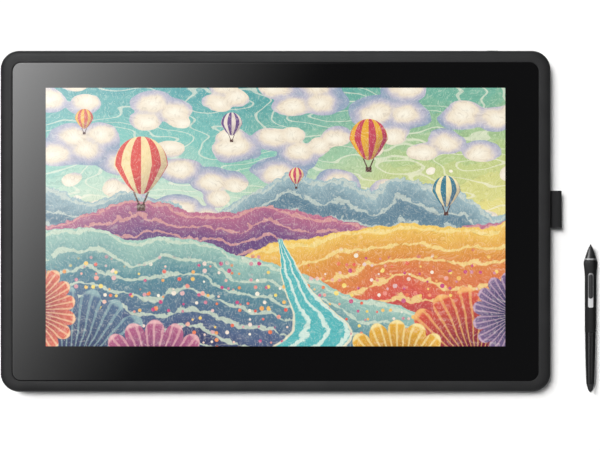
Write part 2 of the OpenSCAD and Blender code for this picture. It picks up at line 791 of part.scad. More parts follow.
module pen_switch_plate() color([0.58, 0.58, 0.6]) pen() {
    difference() {
        intersection() {
            switch_form(plate_w, plate_s0, plate_s1);
            tube(plate_r, core_r + core_in, plate_s0 - 1, plate_s1 + 1);
        }
        switch_form(rocker_w + 2 * rocker_gap, rocker_s0 - rocker_gap, rocker_s1 + rocker_gap);
        translate([0, rocker_y, rocker_s]) rod_x(-5, 5, 0.52);
    }
}

module pen_rocker() color([0.26, 0.26, 0.27]) pen() {
    difference() {
        union() {
            intersection() {
                switch_form(rocker_w, rocker_s0, rocker_s1);
                tube(plate_r + 0.5, core_r + 0.3, rocker_s0 - 1, rocker_s1 + 1);
            }
            for (s = [-1, 1]) translate([0, 0, rocker_s + s * peg_off]) rod_y(3.4, core_r + 0.6, 0.9);
        }
        translate([0, rocker_y, rocker_s]) rod_x(-5, 5, 0.55);
    }
}

module pen_rocker_pin() color("silver") pen() translate([0, rocker_y, rocker_s]) rod_x(-2.6, 2.6, 0.5);

module pen_barrel() color([0.15, 0.15, 0.16]) pen() {
    rotate_extrude() polygon(concat(
        [for (i = [0:14]) let (t = i / 14) [barrel_at(t), grip_end + (tail_s - grip_end) * t]],
        [[cap_r + 0.05, tail_s], [cap_r + 0.05, cap_in - 1], [3.6, cap_in - 1], [3.6, grip_end + 6.2],
            [core_r + core_in, grip_end + 6.2], [core_r + core_in, grip_end]]));
}

module pen_eraser() color([0.18, 0.18, 0.19]) pen() {
    rotate_extrude() polygon(concat(
        [[0, cap_in], [cap_r, cap_in], [cap_r, nub_s - 2.7], [cap_r - 0.2, nub_s - 1.6],
            [cap_r - 0.5, nub_s - 0.8]],
        [for (i = [0:10]) let (u = i / 10)
            [nub_r * pow(1 - pow(u, 1.8), 0.8), nub_s + (pen_len - nub_s) * u]]));
}

module pen_eraser_sensor() color([0.5, 0.5, 0.52]) pen() 
    translate([0, 0, cap_in - pen_travel - 9.5]) cylinder(h = 9.2, r = 3.55);

front_bezel();
screw_bosses();
cover_glass();
glass_gasket();
lcd_panel();
light_guide();
led_strip();
backlight_tray();
sensor_board();
sensor_shield();
chassis_plate();
chassis_screws();
board_posts();
main_board();
board_chips();
board_screws();
hdmi_socket();
usb_socket();
dc_socket();
panel_ribbon();
power_button();
power_switch();
power_light_pipe();
rear_cover();
vesa_posts();
case_screws();
rubber_feet();
stand_panel();
stand_foot();
hinge_bracket_left();
hinge_bracket_right();
hinge_pins();
hinge_washers();
bracket_screws();
pen_loop();
pen_nib();
pen_nose_cone();
pen_ring();
pen_core();
pen_grip();
pen_ferrite();
pen_coil();
pen_force_sensor();
pen_board();
pen_tact_switches();
pen_switch_plate();
pen_rocker();
pen_rocker_pin();
pen_barrel();
pen_eraser();
pen_eraser_sensor();
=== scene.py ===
import math

import bmesh
import bpy
import numpy as np
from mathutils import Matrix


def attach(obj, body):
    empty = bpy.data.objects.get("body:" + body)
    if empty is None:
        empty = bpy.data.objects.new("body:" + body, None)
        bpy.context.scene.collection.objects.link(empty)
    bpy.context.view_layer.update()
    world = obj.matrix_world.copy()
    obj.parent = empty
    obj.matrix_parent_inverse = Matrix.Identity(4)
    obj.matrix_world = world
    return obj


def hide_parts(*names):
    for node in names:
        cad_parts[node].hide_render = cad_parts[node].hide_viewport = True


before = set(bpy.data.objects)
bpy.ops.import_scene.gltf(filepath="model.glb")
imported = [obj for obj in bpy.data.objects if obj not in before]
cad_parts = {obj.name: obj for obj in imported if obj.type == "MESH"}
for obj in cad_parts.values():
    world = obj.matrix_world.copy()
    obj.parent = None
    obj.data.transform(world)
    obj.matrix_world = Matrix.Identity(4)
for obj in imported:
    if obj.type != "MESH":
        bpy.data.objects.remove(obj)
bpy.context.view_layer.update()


# The stage: a white paper sweep under the set, seen from straight above through a long lens.
# The sky is dark straight overhead and brighter halfway down, most of all on the left, so that flat glass
# stays black and round edges get light. A soft light from below shows the back; the lens sees a white room.
scene = bpy.context.scene
scene.view_settings.view_transform = "Standard"
scene.view_settings.look = "None"

long_lens = bpy.data.cameras.new("long_lens")
long_lens.lens, long_lens.sensor_width, long_lens.clip_end = 173.55, 36.0, 60.0
camera = bpy.data.objects.new("overhead_camera", long_lens)
camera.location = (-0.00046, -0.00278, 3.0394)
scene.collection.objects.link(camera)
scene.camera = camera


class Wire:
    """One value in a node tree. Sums, products and the functions below each add a Math node."""

    def __init__(self, socket):
        self.tree, self.socket = socket.id_data, socket

    def op(self, kind, *others):
        """A Math node of that kind, fed by this value and then by the others in turn."""
        made = add_node(self.tree, "ShaderNodeMath", operation=kind)
        feed(made.inputs, self, *others)
        return Wire(made.outputs[0])

    def __add__(self, other):
        return self.op("ADD", other)

    def __sub__(self, other):
        return self.op("SUBTRACT", other)

    def __mul__(self, other):
        return self.op("MULTIPLY", other)

    def __truediv__(self, other):
        return self.op("DIVIDE", other)

    __radd__, __rmul__ = __add__, __mul__

    def __rsub__(self, other):
        return self.op("MULTIPLY_ADD", -1.0, other)

    def sin(self):
        return self.op("SINE")

    def size(self):
        """The value without its sign."""
        return self.op("ABSOLUTE")

    def rise(self, low, high):
        """0 below low and 1 above high, with an S-curve between."""
        made = add_node(self.tree, "ShaderNodeMapRange", interpolation_type="SMOOTHSTEP")
        feed(made.inputs, self, low, high)
        return Wire(made.outputs[0])


def add_node(tree, kind, **settings):
    """A new node with those settings, set beside the last one in rows of twelve."""
    made = tree.nodes.new(kind)
    count = len(tree.nodes)
    made.location = (190 * (count % 12), -230 * (count // 12))
    for name, value in settings.items():
        setattr(made, name, value)
    return made


def feed(inputs, *values):
    """Links each wire or socket to the next input, and sets the plain numbers there."""
    for target, value in zip(inputs, values):
        source = value.socket if isinstance(value, Wire) else value
        if isinstance(source, bpy.types.NodeSocket):
            target.id_data.links.new(source, target)
        else:
            target.default_value = value


def plug(made, **values):
    """Feeds a node's sockets by name, where _ stands for a space."""
    for label, value in values.items():
        feed([made.inputs[label.replace("_", " ")]], value)


def split(whole):
    """The three parts of a vector, as wires."""
    made = add_node(whole.id_data, "ShaderNodeSeparateXYZ")
    feed(made.inputs, whole)
    return [Wire(part) for part in made.outputs]


def own_place(tree):
    """Object coordinates: each point's place in metres."""
    return add_node(tree, "ShaderNodeTexCoord").outputs["Object"]


def grey(level, blue=None):
    """A neutral colour: red and green at one level, and blue at the same one or its own."""
    return level, level, level if blue is None else blue, 1.0


sky = bpy.data.worlds.new("studio_sky")
sky.use_nodes = True
scene.world = sky
air = sky.node_tree
air.nodes.clear()
east, north, up = split(add_node(air, "ShaderNodeTexCoord").outputs["Generated"])
toward_light = (1.0 - east * 1.1 + north * 0.5).op("MAXIMUM", 0.0)
overhead = up.op("MAXIMUM", 0.0) * (1.0 - up * up) * toward_light
below = (0.25 - up).op("MAXIMUM", 0.0)
from_floor = below * below * (1.0 - east.size() * 0.75)
sky_glow = add_node(air, "ShaderNodeBackground")
feed(sky_glow.inputs, (0.97, 0.985, 1.0, 1.0), overhead * 0.6 + from_floor + 0.010)
white_room = add_node(air, "ShaderNodeBackground")
feed(white_room.inputs, grey(1.0), 1.05)
seen_or_felt = add_node(air, "ShaderNodeMixShader")
feed(seen_or_felt.inputs, add_node(air, "ShaderNodeLightPath").outputs["Is Camera Ray"],
     sky_glow.outputs[0], white_room.outputs[0])
feed(add_node(air, "ShaderNodeOutputWorld").inputs, seen_or_felt.outputs[0])

# Suns: two broad ones from the upper left, near the lens, keep the shadows short, to the right and down.
# Two low rims, almost level, light the side walls. None of them shows in a reflection.
for sun_name, energy, spread, tilt in (
        ("near_sun", 1.86, 9.0, (-7.5, -8.8, 0.0)), ("wide_sun", 1.52, 14.5, (-11.2, -14.2, 0.0)),
        ("front_rim", 1.5, 30.0, (87.0, 0.0, 28.0)), ("back_rim", 0.9, 30.0, (87.0, 0.0, 220.0))):
    soft_sun = bpy.data.lights.new(sun_name, "SUN")
    soft_sun.energy, soft_sun.angle, soft_sun.color = energy, math.radians(spread), (1.0, 0.995, 0.985)
    sun = bpy.data.objects.new(sun_name, soft_sun)
    sun.rotation_euler = np.radians(tilt)
    sun.visible_glossy = False
    scene.collection.objects.link(sun)


def flat_board(name, corners, ray):
    """A stage board: one flat face through its corners, which only the named kind of ray can meet."""
    data = bpy.data.meshes.new(name)
    data.from_pydata(corners, [], [range(len(corners))])
    board = bpy.data.objects.new(name, data)
    scene.collection.objects.link(board)
    for kind in ("camera", "diffuse", "glossy", "transmission", "volume_scatter", "shadow"):
        setattr(board, "visible_" + kind, kind == ray)
    return board


def glow_finish(name, strength):
    """Plain white light: an emission of that strength. Returns the material and its light node."""
    made = bpy.data.materials.new(name)
    made.use_nodes = True
    made.node_tree.nodes.clear()
    light = add_node(made.node_tree, "ShaderNodeEmission")
    feed(light.inputs, grey(1.0), strength)
    feed(add_node(made.node_tree, "ShaderNodeOutputMaterial").inputs, light.outputs[0])
    return made, light


def noise(where, scale, detail=3.0, rough=0.5, kind="3D"):
    """A Noise Texture read at a vector, from 0 to 1."""
    made = add_node(where.id_data, "ShaderNodeTexNoise", noise_dimensions=kind)
    plug(made, Vector=where, Scale=scale, Detail=detail, Roughness=rough)
    return Wire(made.outputs[0])


def finish(name, **sockets):
    """A new material; the plain numbers go straight to the Principled BSDF's sockets."""
    made = bpy.data.materials.new(name)
    made.use_nodes = True
    shader = made.node_tree.nodes["Principled BSDF"]
    plug(shader, **sockets)
    return made, made.node_tree, shader


def level_corners(low_x, low_y, high_x, high_y, z):
    """Corners of a level rectangle, in turn, so that its face looks up."""
    return [(low_x, low_y, z), (high_x, low_y, z), (high_x, high_y, z), (low_x, high_y, z)]


# Floor: matt white paper that only the lens sees, and only from above, so that it stops no light from below
# and hides nothing in a view of the back.
SWEEP, SWEEP_Z = 30.0, -2e-4
paper, paper_tree, paper_skin = finish("white_paper", Roughness=0.95, Specular_IOR_Level=0.0)
paper_shade = noise(own_place(paper_tree), 900.0, 2.0) * 0.03 + 0.885
plug(paper_skin, Base_Color=paper_shade)
paper_side = add_node(paper_tree, "ShaderNodeMixShader")
feed(paper_side.inputs, add_node(paper_tree, "ShaderNodeNewGeometry").outputs["Backfacing"],
     paper_skin.outputs[0], add_node(paper_tree, "ShaderNodeBsdfTransparent").outputs[0])
feed(paper_tree.nodes["Material Output"].inputs, paper_side.outputs[0])
floor = flat_board("paper_sweep", level_corners(-SWEEP, -SWEEP, SWEEP, SWEEP, SWEEP_Z), "camera")
floor.data.materials.append(paper)

# Window card: a tall window to the upper left shows in the glass as a haze that fades along a slanting edge.
# Its light grows with the distance from that edge, evenly to the eye, so it follows the display curve, less
# the glass's own light and over the share that glass reflects.
EDGE_X, EDGE_Y, SLANT_X, SLANT_Y = 0.056, 0.282, 0.853, 0.521
HAZE_GROWS, HAZE_FROM, HAZE_LEAST, HAZE_MOST = 1.03, 0.057, 0.0745, 0.62
GLASS_OWN, GLASS_SHARE = 0.0065, 0.04
card = flat_board("window_card", level_corners(-0.75, -0.5, 0.14, 0.6, 2.44), "glossy")
card_finish, card_light = glow_finish("window_glow", 0.0)
card_tree = card_finish.node_tree
card_x, card_y = split(own_place(card_tree))[:2]
inside = (card_y - EDGE_Y) * SLANT_Y - (card_x - EDGE_X) * SLANT_X
shown = (inside * HAZE_GROWS + HAZE_FROM).op("MAXIMUM", HAZE_LEAST).op("MINIMUM", HAZE_MOST)
lit = ((shown + 0.055) / 1.055).op("POWER", 2.4) - GLASS_OWN
plug(card_light, Strength=lit / GLASS_SHARE)
card.data.materials.append(card_finish)

# Boxes: two long soft ones beside the desk give the pen's gloss its lengthwise streaks. A square one beyond
# the upper left corner, which fades out to the left, lights the frame's left and top edges. A small card
# between the set and the pen, lit on one face, puts the highlight on the pen's nose.
for box_name, strength, corners in (
        ("left_box", 1.9,
         [(-0.86, -0.42, 0.92), (-0.74, -0.42, 1.08), (-0.74, 0.1, 1.08), (-0.86, 0.1, 0.92)]),
        ("right_box", 1.0,
         [(0.86, -0.42, 1.36), (1.06, -0.42, 1.27), (1.06, 0.1, 1.27), (0.86, 0.1, 1.36)]),
        ("corner_box", 2.8,
         [(-1.1, 0.36, 0.45), (0.0, 1.0, 0.45), (-0.05, 0.75, 1.05), (-0.95, 0.28, 1.05)]),
        ("nose_card", 6.2,
         [(0.276, -0.038, 0.016), (0.276, -0.004, 0.016), (0.276, -0.004, 0.0385), (0.276, -0.038, 0.0385)])):
    box = flat_board(box_name, corners, "glossy")
    glow, lamp = glow_finish(box_name + "_glow", strength)
    glow_tree = glow.node_tree
    if box_name == "corner_box":
        fade = split(own_place(glow_tree))[0].rise(-1.0, -0.35)
        plug(lamp, Strength=fade * strength)
    if box_name == "nose_card":
        dark_face = Wire(add_node(glow_tree, "ShaderNodeNewGeometry").outputs["Backfacing"])
        plug(lamp, Strength=dark_face * -strength + strength)
    box.data.materials.append(glow)

# Flag: a narrow board over the pen's right side, which only shadow rays meet. It deepens the pen's shade.
FLAG_Z = 0.022
flag_edge = [(0.3046, -0.0245), (0.3066, -0.0245), (0.3087, -0.043), (0.3081, -0.165), (0.3071, -0.1775),
             (0.3049, -0.1775), (0.3049, -0.043)]
flat_board("pen_flag", [(flag_x, flag_y, FLAG_Z) for flag_x, flag_y in flag_edge], "shadow")


# Rear cover: the back half of the case, one moulding in black fine-grained plastic with a soft belly.
# It is screwed to the bezel from behind and holds the stand's recess, the ports' bay and the vents.
def group(name, inputs, *outputs):
    """An empty shader node group with named number sockets, the inputs with their usual values; returns its
    tree and its two end nodes."""
    tree = bpy.data.node_groups.new(name, "ShaderNodeTree")
    for label, value in inputs.items():
        tree.interface.new_socket(label, in_out="INPUT", socket_type="NodeSocketFloat").default_value = value
    for label in outputs:
        tree.interface.new_socket(label, in_out="OUTPUT", socket_type="NodeSocketFloat")
    return tree, add_node(tree, "NodeGroupInput"), add_node(tree, "NodeGroupOutput")


# Moulded grain: fine pits in the plastic, a slow mottle in its shade, and rubbed patches.
grain, grain_in, grain_out = group("moulded_grain", {"Scale": 2500.0}, "Height", "Mottle", "Rub")
grain_at = own_place(grain)
grain_scale = Wire(grain_in.outputs["Scale"])
small_pits = noise(grain_at, grain_scale, 2.0, 0.6)
large_pits = noise(grain_at, grain_scale * 0.31, 1.0)
feed(grain_out.inputs, small_pits * 0.7 + large_pits * 0.3,
     noise(grain_at, 28.0, 4.0, 0.62), noise(grain_at, 110.0, 5.0, 0.7).rise(0.42, 0.75))


def place(tree, made_group, **values):
    """A group placed in a tree with its own values; returns its outputs as wires by name."""
    made = add_node(tree, "ShaderNodeGroup")
    made.node_tree = made_group
    plug(made, **values)
    return {o.name: Wire(o) for o in made.outputs}


def tint(below, above, share):
    """A colour between two others: a Mix node by share, whose colour sockets are 6 and 7."""
    made = add_node(share.tree, "ShaderNodeMix", data_type="RGBA")
    feed([made.inputs[0], made.inputs[6], made.inputs[7]], share, below, above)
    return made.outputs[2]


def bump(shader, height, strength, depth):
    """A Bump node of that depth in metres, from height to the shader's Normal."""
    made = add_node(shader.id_data, "ShaderNodeBump")
    plug(made, Strength=strength, Distance=depth, Height=height)
    plug(shader, Normal=made.outputs[0])


def moulded(name, dark, light, rough, scale, pits):
    """Moulded plastic: the shade wanders between two colours, the gloss follows the rubbed patches."""
    made, tree, shader = finish(name)
    feel = place(tree, grain, Scale=scale)
    plug(shader, Base_Color=tint(dark, light, feel["Mottle"].rise(0.3, 0.72)),
         Roughness=rough + feel["Rub"] * -0.06)
    bump(shader, feel["Height"], 0.55, pits)
    return made


rear_plastic = moulded("rear_plastic", grey(0.017, 0.018), grey(0.023, 0.0245), 0.56, 2100.0, 6e-5)


def soft_shade(data, degrees):
    """Smooth shading, broken where two faces turn more than that angle."""
    data.polygons.foreach_set("use_smooth", np.ones(len(data.polygons), bool))
    data.set_sharp_from_angle(angle=math.radians(degrees))


def dress(piece, made, body, node):
    """Gives a piece its material and body, and lets it stand for its CAD node."""
    piece.data.materials.clear()
    piece.data.materials.append(made)
    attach(piece, body)
    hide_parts(node)


def merged_copy(name, node):
    """A copy of a CAD node with its loose triangles joined at their corners, so that its curves shade
    evenly: each corner's normal is the mean of its faces, weighted by their areas."""
    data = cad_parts[node].data.copy()
    data.name = name
    work = bmesh.new()
    work.from_mesh(data)
    bmesh.ops.remove_doubles(work, verts=work.verts, dist=2e-6)
    bmesh.ops.dissolve_degenerate(work, edges=work.edges, dist=1e-6)
    work.to_mesh(data)
    work.free()
    soft_shade(data, 28)
    piece = bpy.data.objects.new(name, data)
    scene.collection.objects.link(piece)
    even = piece.modifiers.new("even_shade", "WEIGHTED_NORMAL")
    even.keep_sharp, even.weight = True, 60
    return piece


dress(merged_copy("rear_shell", "rear_cover"), rear_plastic, "tablet", "rear_cover")


# Feet: four long rubber pads glued to the back near the corners, so the set lies still on a desk.
# Black rubber, matt, with the fine powder grain of a pressed pad.
rubber = moulded("pressed_rubber", grey(0.012), (0.019, 0.0185, 0.018, 1.0), 0.88, 3600.0, 5e-5)
dress(merged_copy("foot_pads", "rubber_feet"), rubber, "tablet", "rubber_feet")


# Stand: a plate that swings out of the back on two steel pins, with a rubber strip along its free edge.
# The plate is the rear cover's plastic; pins, brackets, washers and screws are plated steel.
stand_plastic = moulded("stand_plastic", grey(0.021, 0.022), grey(0.028, 0.0295), 0.52, 2100.0, 6e-5)
dress(merged_copy("stand_plate", "stand_panel"), stand_plastic, "stand", "stand_panel")
dress(merged_copy("stand_strip", "stand_foot"), rubber, "stand", "stand_foot")


def metal(name, colour, worn, rough, stretch, bare=1.0):
    """Metal, bare or under paint: fine lines drawn along one direction stir the shade, gloss and surface."""
    made, tree, shader = finish(name, Metallic=bare)
    lines = add_node(tree, "ShaderNodeMapping")
    plug(lines, Vector=own_place(tree), Scale=stretch)
    drawn = noise(lines.outputs[0], 60.0, 6.0, 0.65)
    plug(shader, Base_Color=tint(worn, colour, drawn.rise(0.3, 0.65)),
         Roughness=drawn * 0.22 + (rough - 0.11))
    bump(shader, drawn, 0.25, 2e-5)
    return made


def dress_nodes(made, *names):
    """Puts a material on CAD nodes that stay as they are."""
    for name in names:
        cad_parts[name].data.materials.clear()
        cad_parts[name].data.materials.append(made)


plated_steel = metal("plated_steel", (0.56, 0.57, 0.59, 1.0), grey(0.36, 0.37), 0.34, (30.0, 4.0, 30.0))
dress_nodes(plated_steel, "hinge_bracket_left", "hinge_bracket_right", "hinge_pins", "hinge_washers",
            "bracket_screws", "case_screws", "vesa_posts")


# Sockets: the video, data and power sockets on the main board, which look out into the bay in the back.
# Two folded steel shells and one black moulded barrel.
dress_nodes(plated_steel, "hdmi_socket", "usb_socket")
socket_black = moulded("socket_black", grey(0.018, 0.019), grey(0.026, 0.027), 0.42, 3000.0, 3e-5)
dress_nodes(socket_black, "dc_socket")


# Boards and display stack inside the case: panel, light guide, lamps, tray, sensor, shield, chassis and
# main board, screwed to bosses under the bezel. They stay as they are and only get their finishes.
dress_nodes(plated_steel, "chassis_screws", "board_screws", "pen_force_sensor", "pen_rocker_pin",
            "pen_eraser_sensor")
for name, colour, worn, rough, stretch, *names in (
        ("rolled_sheet", (0.74, 0.75, 0.76, 1.0), (0.56, 0.57, 0.58, 1.0), 0.4, (2.0, 40.0, 40.0),
         "backlight_tray", "sensor_shield", "chassis_plate"),
        ("turned_brass", (0.72, 0.55, 0.24, 1.0), (0.5, 0.36, 0.14, 1.0), 0.3, (8.0, 8.0, 60.0),
         "board_posts"),
        ("wound_copper", (0.62, 0.27, 0.12, 1.0), (0.36, 0.13, 0.05, 1.0), 0.36, (4.0, 900.0, 4.0),
         "pen_coil")):
    dress_nodes(metal(name, colour, worn, rough, stretch), *names)
for name, dark, light, rough, scale, pits, *names in (
        ("sintered_ferrite", (0.03, 0.029, 0.028, 1.0), (0.055, 0.053, 0.05, 1.0), 0.7, 4000.0, 6e-5,
         "pen_ferrite"),
        ("boss_plastic", grey(0.03, 0.031), grey(0.04, 0.042), 0.55, 2100.0, 4e-5,
         "screw_bosses", "pen_core", "board_chips", "pen_tact_switches"),
        ("closed_foam", grey(0.008), grey(0.014), 0.97, 1500.0, 2e-4, "glass_gasket"),
        ("clear_guide", (0.78, 0.82, 0.84, 1.0), (0.86, 0.89, 0.9, 1.0), 0.2, 1800.0, 2e-5,
         "light_guide", "power_light_pipe"),
        ("lamp_resin", (0.82, 0.78, 0.6, 1.0), (0.92, 0.88, 0.7, 1.0), 0.3, 900.0, 2e-5, "led_strip"),
        ("ribbon_film", (0.5, 0.3, 0.09, 1.0), (0.6, 0.4, 0.14, 1.0), 0.35, 700.0, 2e-5, "panel_ribbon"),
        ("panel_coat", (0.03, 0.035, 0.04, 1.0), (0.045, 0.05, 0.055, 1.0), 0.25, 2500.0, 1e-5, "lcd_panel")):
    dress_nodes(moulded(name, dark, light, rough, scale, pits), *names)
solder_mask, mask_tree, mask_shader = finish("solder_mask", Coat_Weight=0.3, Coat_Roughness=0.15)
mask_at = own_place(mask_tree)
tracks = add_node(mask_tree, "ShaderNodeTexBrick", offset=0.37, squash=2.0, squash_frequency=3)
feed(tracks.inputs, mask_at, (0.012, 0.075, 0.036, 1.0), (0.016, 0.09, 0.045, 1.0),
     (0.05, 0.17, 0.08, 1.0), 130.0, 0.045, 0.2)
plug(mask_shader, Base_Color=tracks.outputs["Color"], Roughness=noise(mask_at, 300.0) * 0.2 + 0.3)
bump(mask_shader, Wire(tracks.outputs["Fac"]), 0.4, 3e-5)
dress_nodes(solder_mask, "sensor_board", "main_board", "power_switch", "pen_board")


# Front bezel: one moulded frame in dark grey satin plastic, with a soft outer edge and a fine lip at the
# glass. Vents, the power key and the pen loop's slot are let into its walls.
BODY_W, BODY_H, BODY_R, PART_Z, FRONT_Z = 571.2, 354.3, 19.5, 20.0, 40.0
OPEN_W, OPEN_H, OPEN_R = 546.3, 330.7, 9.8
OPEN_MID = np.array([-0.2, -0.35, 0.0])
TABLET_MID = np.array([-25.85, 1.05, 0.0])
LEDGE_Z, LEDGE_IN, LEDGE_R, FLANGE_Z, WALL = 36.4, 9.0, 2.0, 34.4, 2.2
EDGE_IN, EDGE_DROP, EDGE_POWER, LIP_R = 9.0, 6.5, 2.6, 0.45


def ring_keys(corner, run):
    """Round a rounded rectangle, for each point: the corner centre that it hangs from, as two signs from
    -1 to 1, and its outward unit normal. A corner is a quarter turn; on a straight run the sign slides."""
    turn = np.linspace(0.0, np.pi / 2, corner)
    slide = np.linspace(1.0, -1.0, run + 2)[1:-1]
    starts = np.array([[1, 1], [-1, 1], [-1, -1], [1, -1]], float)
    quarters = np.arange(4)[:, None] * np.pi / 2
    arcs = np.stack([np.repeat(starts[:, :1], corner, 1), np.repeat(starts[:, 1:], corner, 1),
                     np.cos(quarters + turn), np.sin(quarters + turn)], -1)
    ends = np.roll(starts, -1, 0)
    mix = (1 - slide) / 2
    signs = starts[:, None] * (1 - mix)[None, :, None] + ends[:, None] * mix[None, :, None]
    out = np.stack([np.cos(quarters + np.pi / 2), np.sin(quarters + np.pi / 2)], -1)
    runs = np.concatenate([signs, np.repeat(out, run, 1)], -1)
    return np.concatenate([arcs, runs], 1).reshape(-1, 4)


def rounded_rings(keys, wide, high, radius, level):
    """One rounded rectangle for each level: a point is its corner centre plus radius times its normal."""
    w, h, r, z = (np.asarray(v, float)[:, None] for v in np.broadcast_arrays(wide, high, radius, level))
    x = keys[:, 0] * (w / 2 - r) + r * keys[:, 2]
    y = keys[:, 1] * (h / 2 - r) + r * keys[:, 3]
    return np.stack([x, y, z + 0 * x], -1)


def grid_quads(rows, columns, wrap_rows):
    """Quads of a grid of closed rings: each joins a point to the next in both directions, round the seam.
    The last row joins the first if the rows wrap."""
    i = np.arange(rows if wrap_rows else rows - 1)[:, None]
    j = np.arange(columns)[None, :]
    near, far = i * columns, (i + 1) % rows * columns
    return np.stack([near + j, far + j, far + (j + 1) % columns, near + (j + 1) % columns], -1).reshape(-1, 4)


def skin(name, grid, wrap_rows=False, crease=35, uv=None):
    """A mesh from a grid of rings in metres. Each ring is closed; the rows close on themselves, or the
    first and last rings get a flat cap. Doubles are merged and the normals turned outwards."""
    rows, columns = grid.shape[:2]
    faces = grid_quads(rows, columns, wrap_rows).tolist()
    if not wrap_rows:
        faces += [list(range(columns))[::-1], list(range((rows - 1) * columns, rows * columns))]
    data = bpy.data.meshes.new(name)
    data.from_pydata(grid.reshape(-1, 3).tolist(), [], faces)
    if uv is not None:
        corners = np.empty(len(data.loops), np.int32)
        data.loops.foreach_get("vertex_index", corners)
        data.uv_layers.new(name="surface").data.foreach_set("uv", uv.reshape(-1, 2)[corners].ravel())
    work = bmesh.new()
    work.from_mesh(data)
    bmesh.ops.remove_doubles(work, verts=work.verts, dist=1e-7)
    bmesh.ops.recalc_face_normals(work, faces=work.faces)
    work.to_mesh(data)
    work.free()
    soft_shade(data, crease)
    piece = bpy.data.objects.new(name, data)
    scene.collection.objects.link(piece)
    return piece


def on_tablet(points):
    """Millimetres about the tablet's own middle, turned into metres in the row frame."""
    return (points + TABLET_MID) / 1000


def prisms(outline, centres, across, upward, reach):
    """Prisms of one outline at several centres: a point is its centre plus the outline's two lengths along
    across and upward, plus or minus reach along the direction square to both."""
    a, b = np.array(across, float), np.array(upward, float)
    flat = outline[:, :1] * a + outline[:, 1:] * b
    ends = np.array([-1.0, 1.0])[:, None, None] * reach * np.cross(a, b)
    points = np.asarray(centres, float)[:, None, None, :] + flat[None, None] + ends[None]
    count, n = len(points), len(outline)
    base = (np.arange(count) * 2 * n)[:, None, None]
    sides = (base + grid_quads(2, n, False)[None]).reshape(-1, 4).tolist()
    near_lids = base[:, :, 0] + np.arange(n)[None, ::-1]
    far_lids = base[:, :, 0] + n + np.arange(n)[None]
    return points.reshape(-1, 3), sides + near_lids.tolist() + far_lids.tolist()


def cut_away(piece, points, faces, crease=35):
    """Takes a cutter's volume out of a piece with an exact Boolean, and keeps the result as its mesh."""
    data = bpy.data.meshes.new("cutter")
    data.from_pydata(points.tolist(), [], faces)
    work = bmesh.new()
    work.from_mesh(data)
    bmesh.ops.recalc_face_normals(work, faces=work.faces)
    work.to_mesh(data)
    work.free()
    tool = bpy.data.objects.new("cutter", data)
    scene.collection.objects.link(tool)
    step = piece.modifiers.new("cut", "BOOLEAN")
    step.operation, step.solver, step.object = "DIFFERENCE", "EXACT", tool
    worked = piece.evaluated_get(bpy.context.evaluated_depsgraph_get())
    cut = bpy.data.meshes.new_from_object(worked)
    piece.modifiers.clear()
    piece.data = cut
    bpy.data.objects.remove(tool)
    soft_shade(cut, crease)


def stadium(long, wide, n=12):
    """Outline of a slot: two half circles of radius wide / 2, their centres long - wide apart."""
    turn = np.linspace(-np.pi / 2, np.pi / 2, n)
    cap = np.stack([np.cos(turn), np.sin(turn)], -1) * wide / 2 + np.array([(long - wide) / 2, 0.0])
    return np.concatenate([cap, -cap])


def quarter_round(radius, n):
    """A round edge in n steps: radius less its cosine is how far a step is drawn in, and radius less its sine
    how far it lies below the top."""
    turn = np.linspace(0.0, np.pi / 2, n)
    return radius * (1 - np.cos(turn)), radius * (1 - np.sin(turn))


def bezel_spans(body, opening):
    """One span of each ring of the bezel: from the outer wall over the soft edge to the lip, down to the
    ledge under the glass and back along the inside of the wall."""
    inner = [opening, opening - 2 * LEDGE_IN, opening - 2 * LEDGE_IN, body - 2 * WALL, body - 2 * WALL]
    return np.r_[body, body - 2 * edge_in, opening + 2 * lip_in, inner]


# The outer edge is a superellipse, and the lip a quarter round.
keys = ring_keys(26, 6)
edge = np.linspace(0.0, 1.0, 22) ** 1.4
edge_in = EDGE_IN * edge
edge_z = FRONT_Z - EDGE_DROP * (1 - (1 - (1 - edge) ** EDGE_POWER) ** (1 / EDGE_POWER))
lip_drop, lip_in = quarter_round(LIP_R, 6)
bezel_r = np.r_[BODY_R, BODY_R - edge_in, OPEN_R + lip_in, OPEN_R, LEDGE_R, LEDGE_R, [BODY_R - WALL] * 2]
bezel_z = np.r_[PART_Z, edge_z, FRONT_Z - lip_drop, LEDGE_Z, LEDGE_Z, FLANGE_Z, FLANGE_Z, PART_Z]
bezel_rings = rounded_rings(keys, bezel_spans(BODY_W, OPEN_W), bezel_spans(BODY_H, OPEN_H), bezel_r, bezel_z)
bezel_rings[1 + len(edge_in):-2] += OPEN_MID
bezel = skin("bezel", on_tablet(bezel_rings), wrap_rows=True, crease=40)

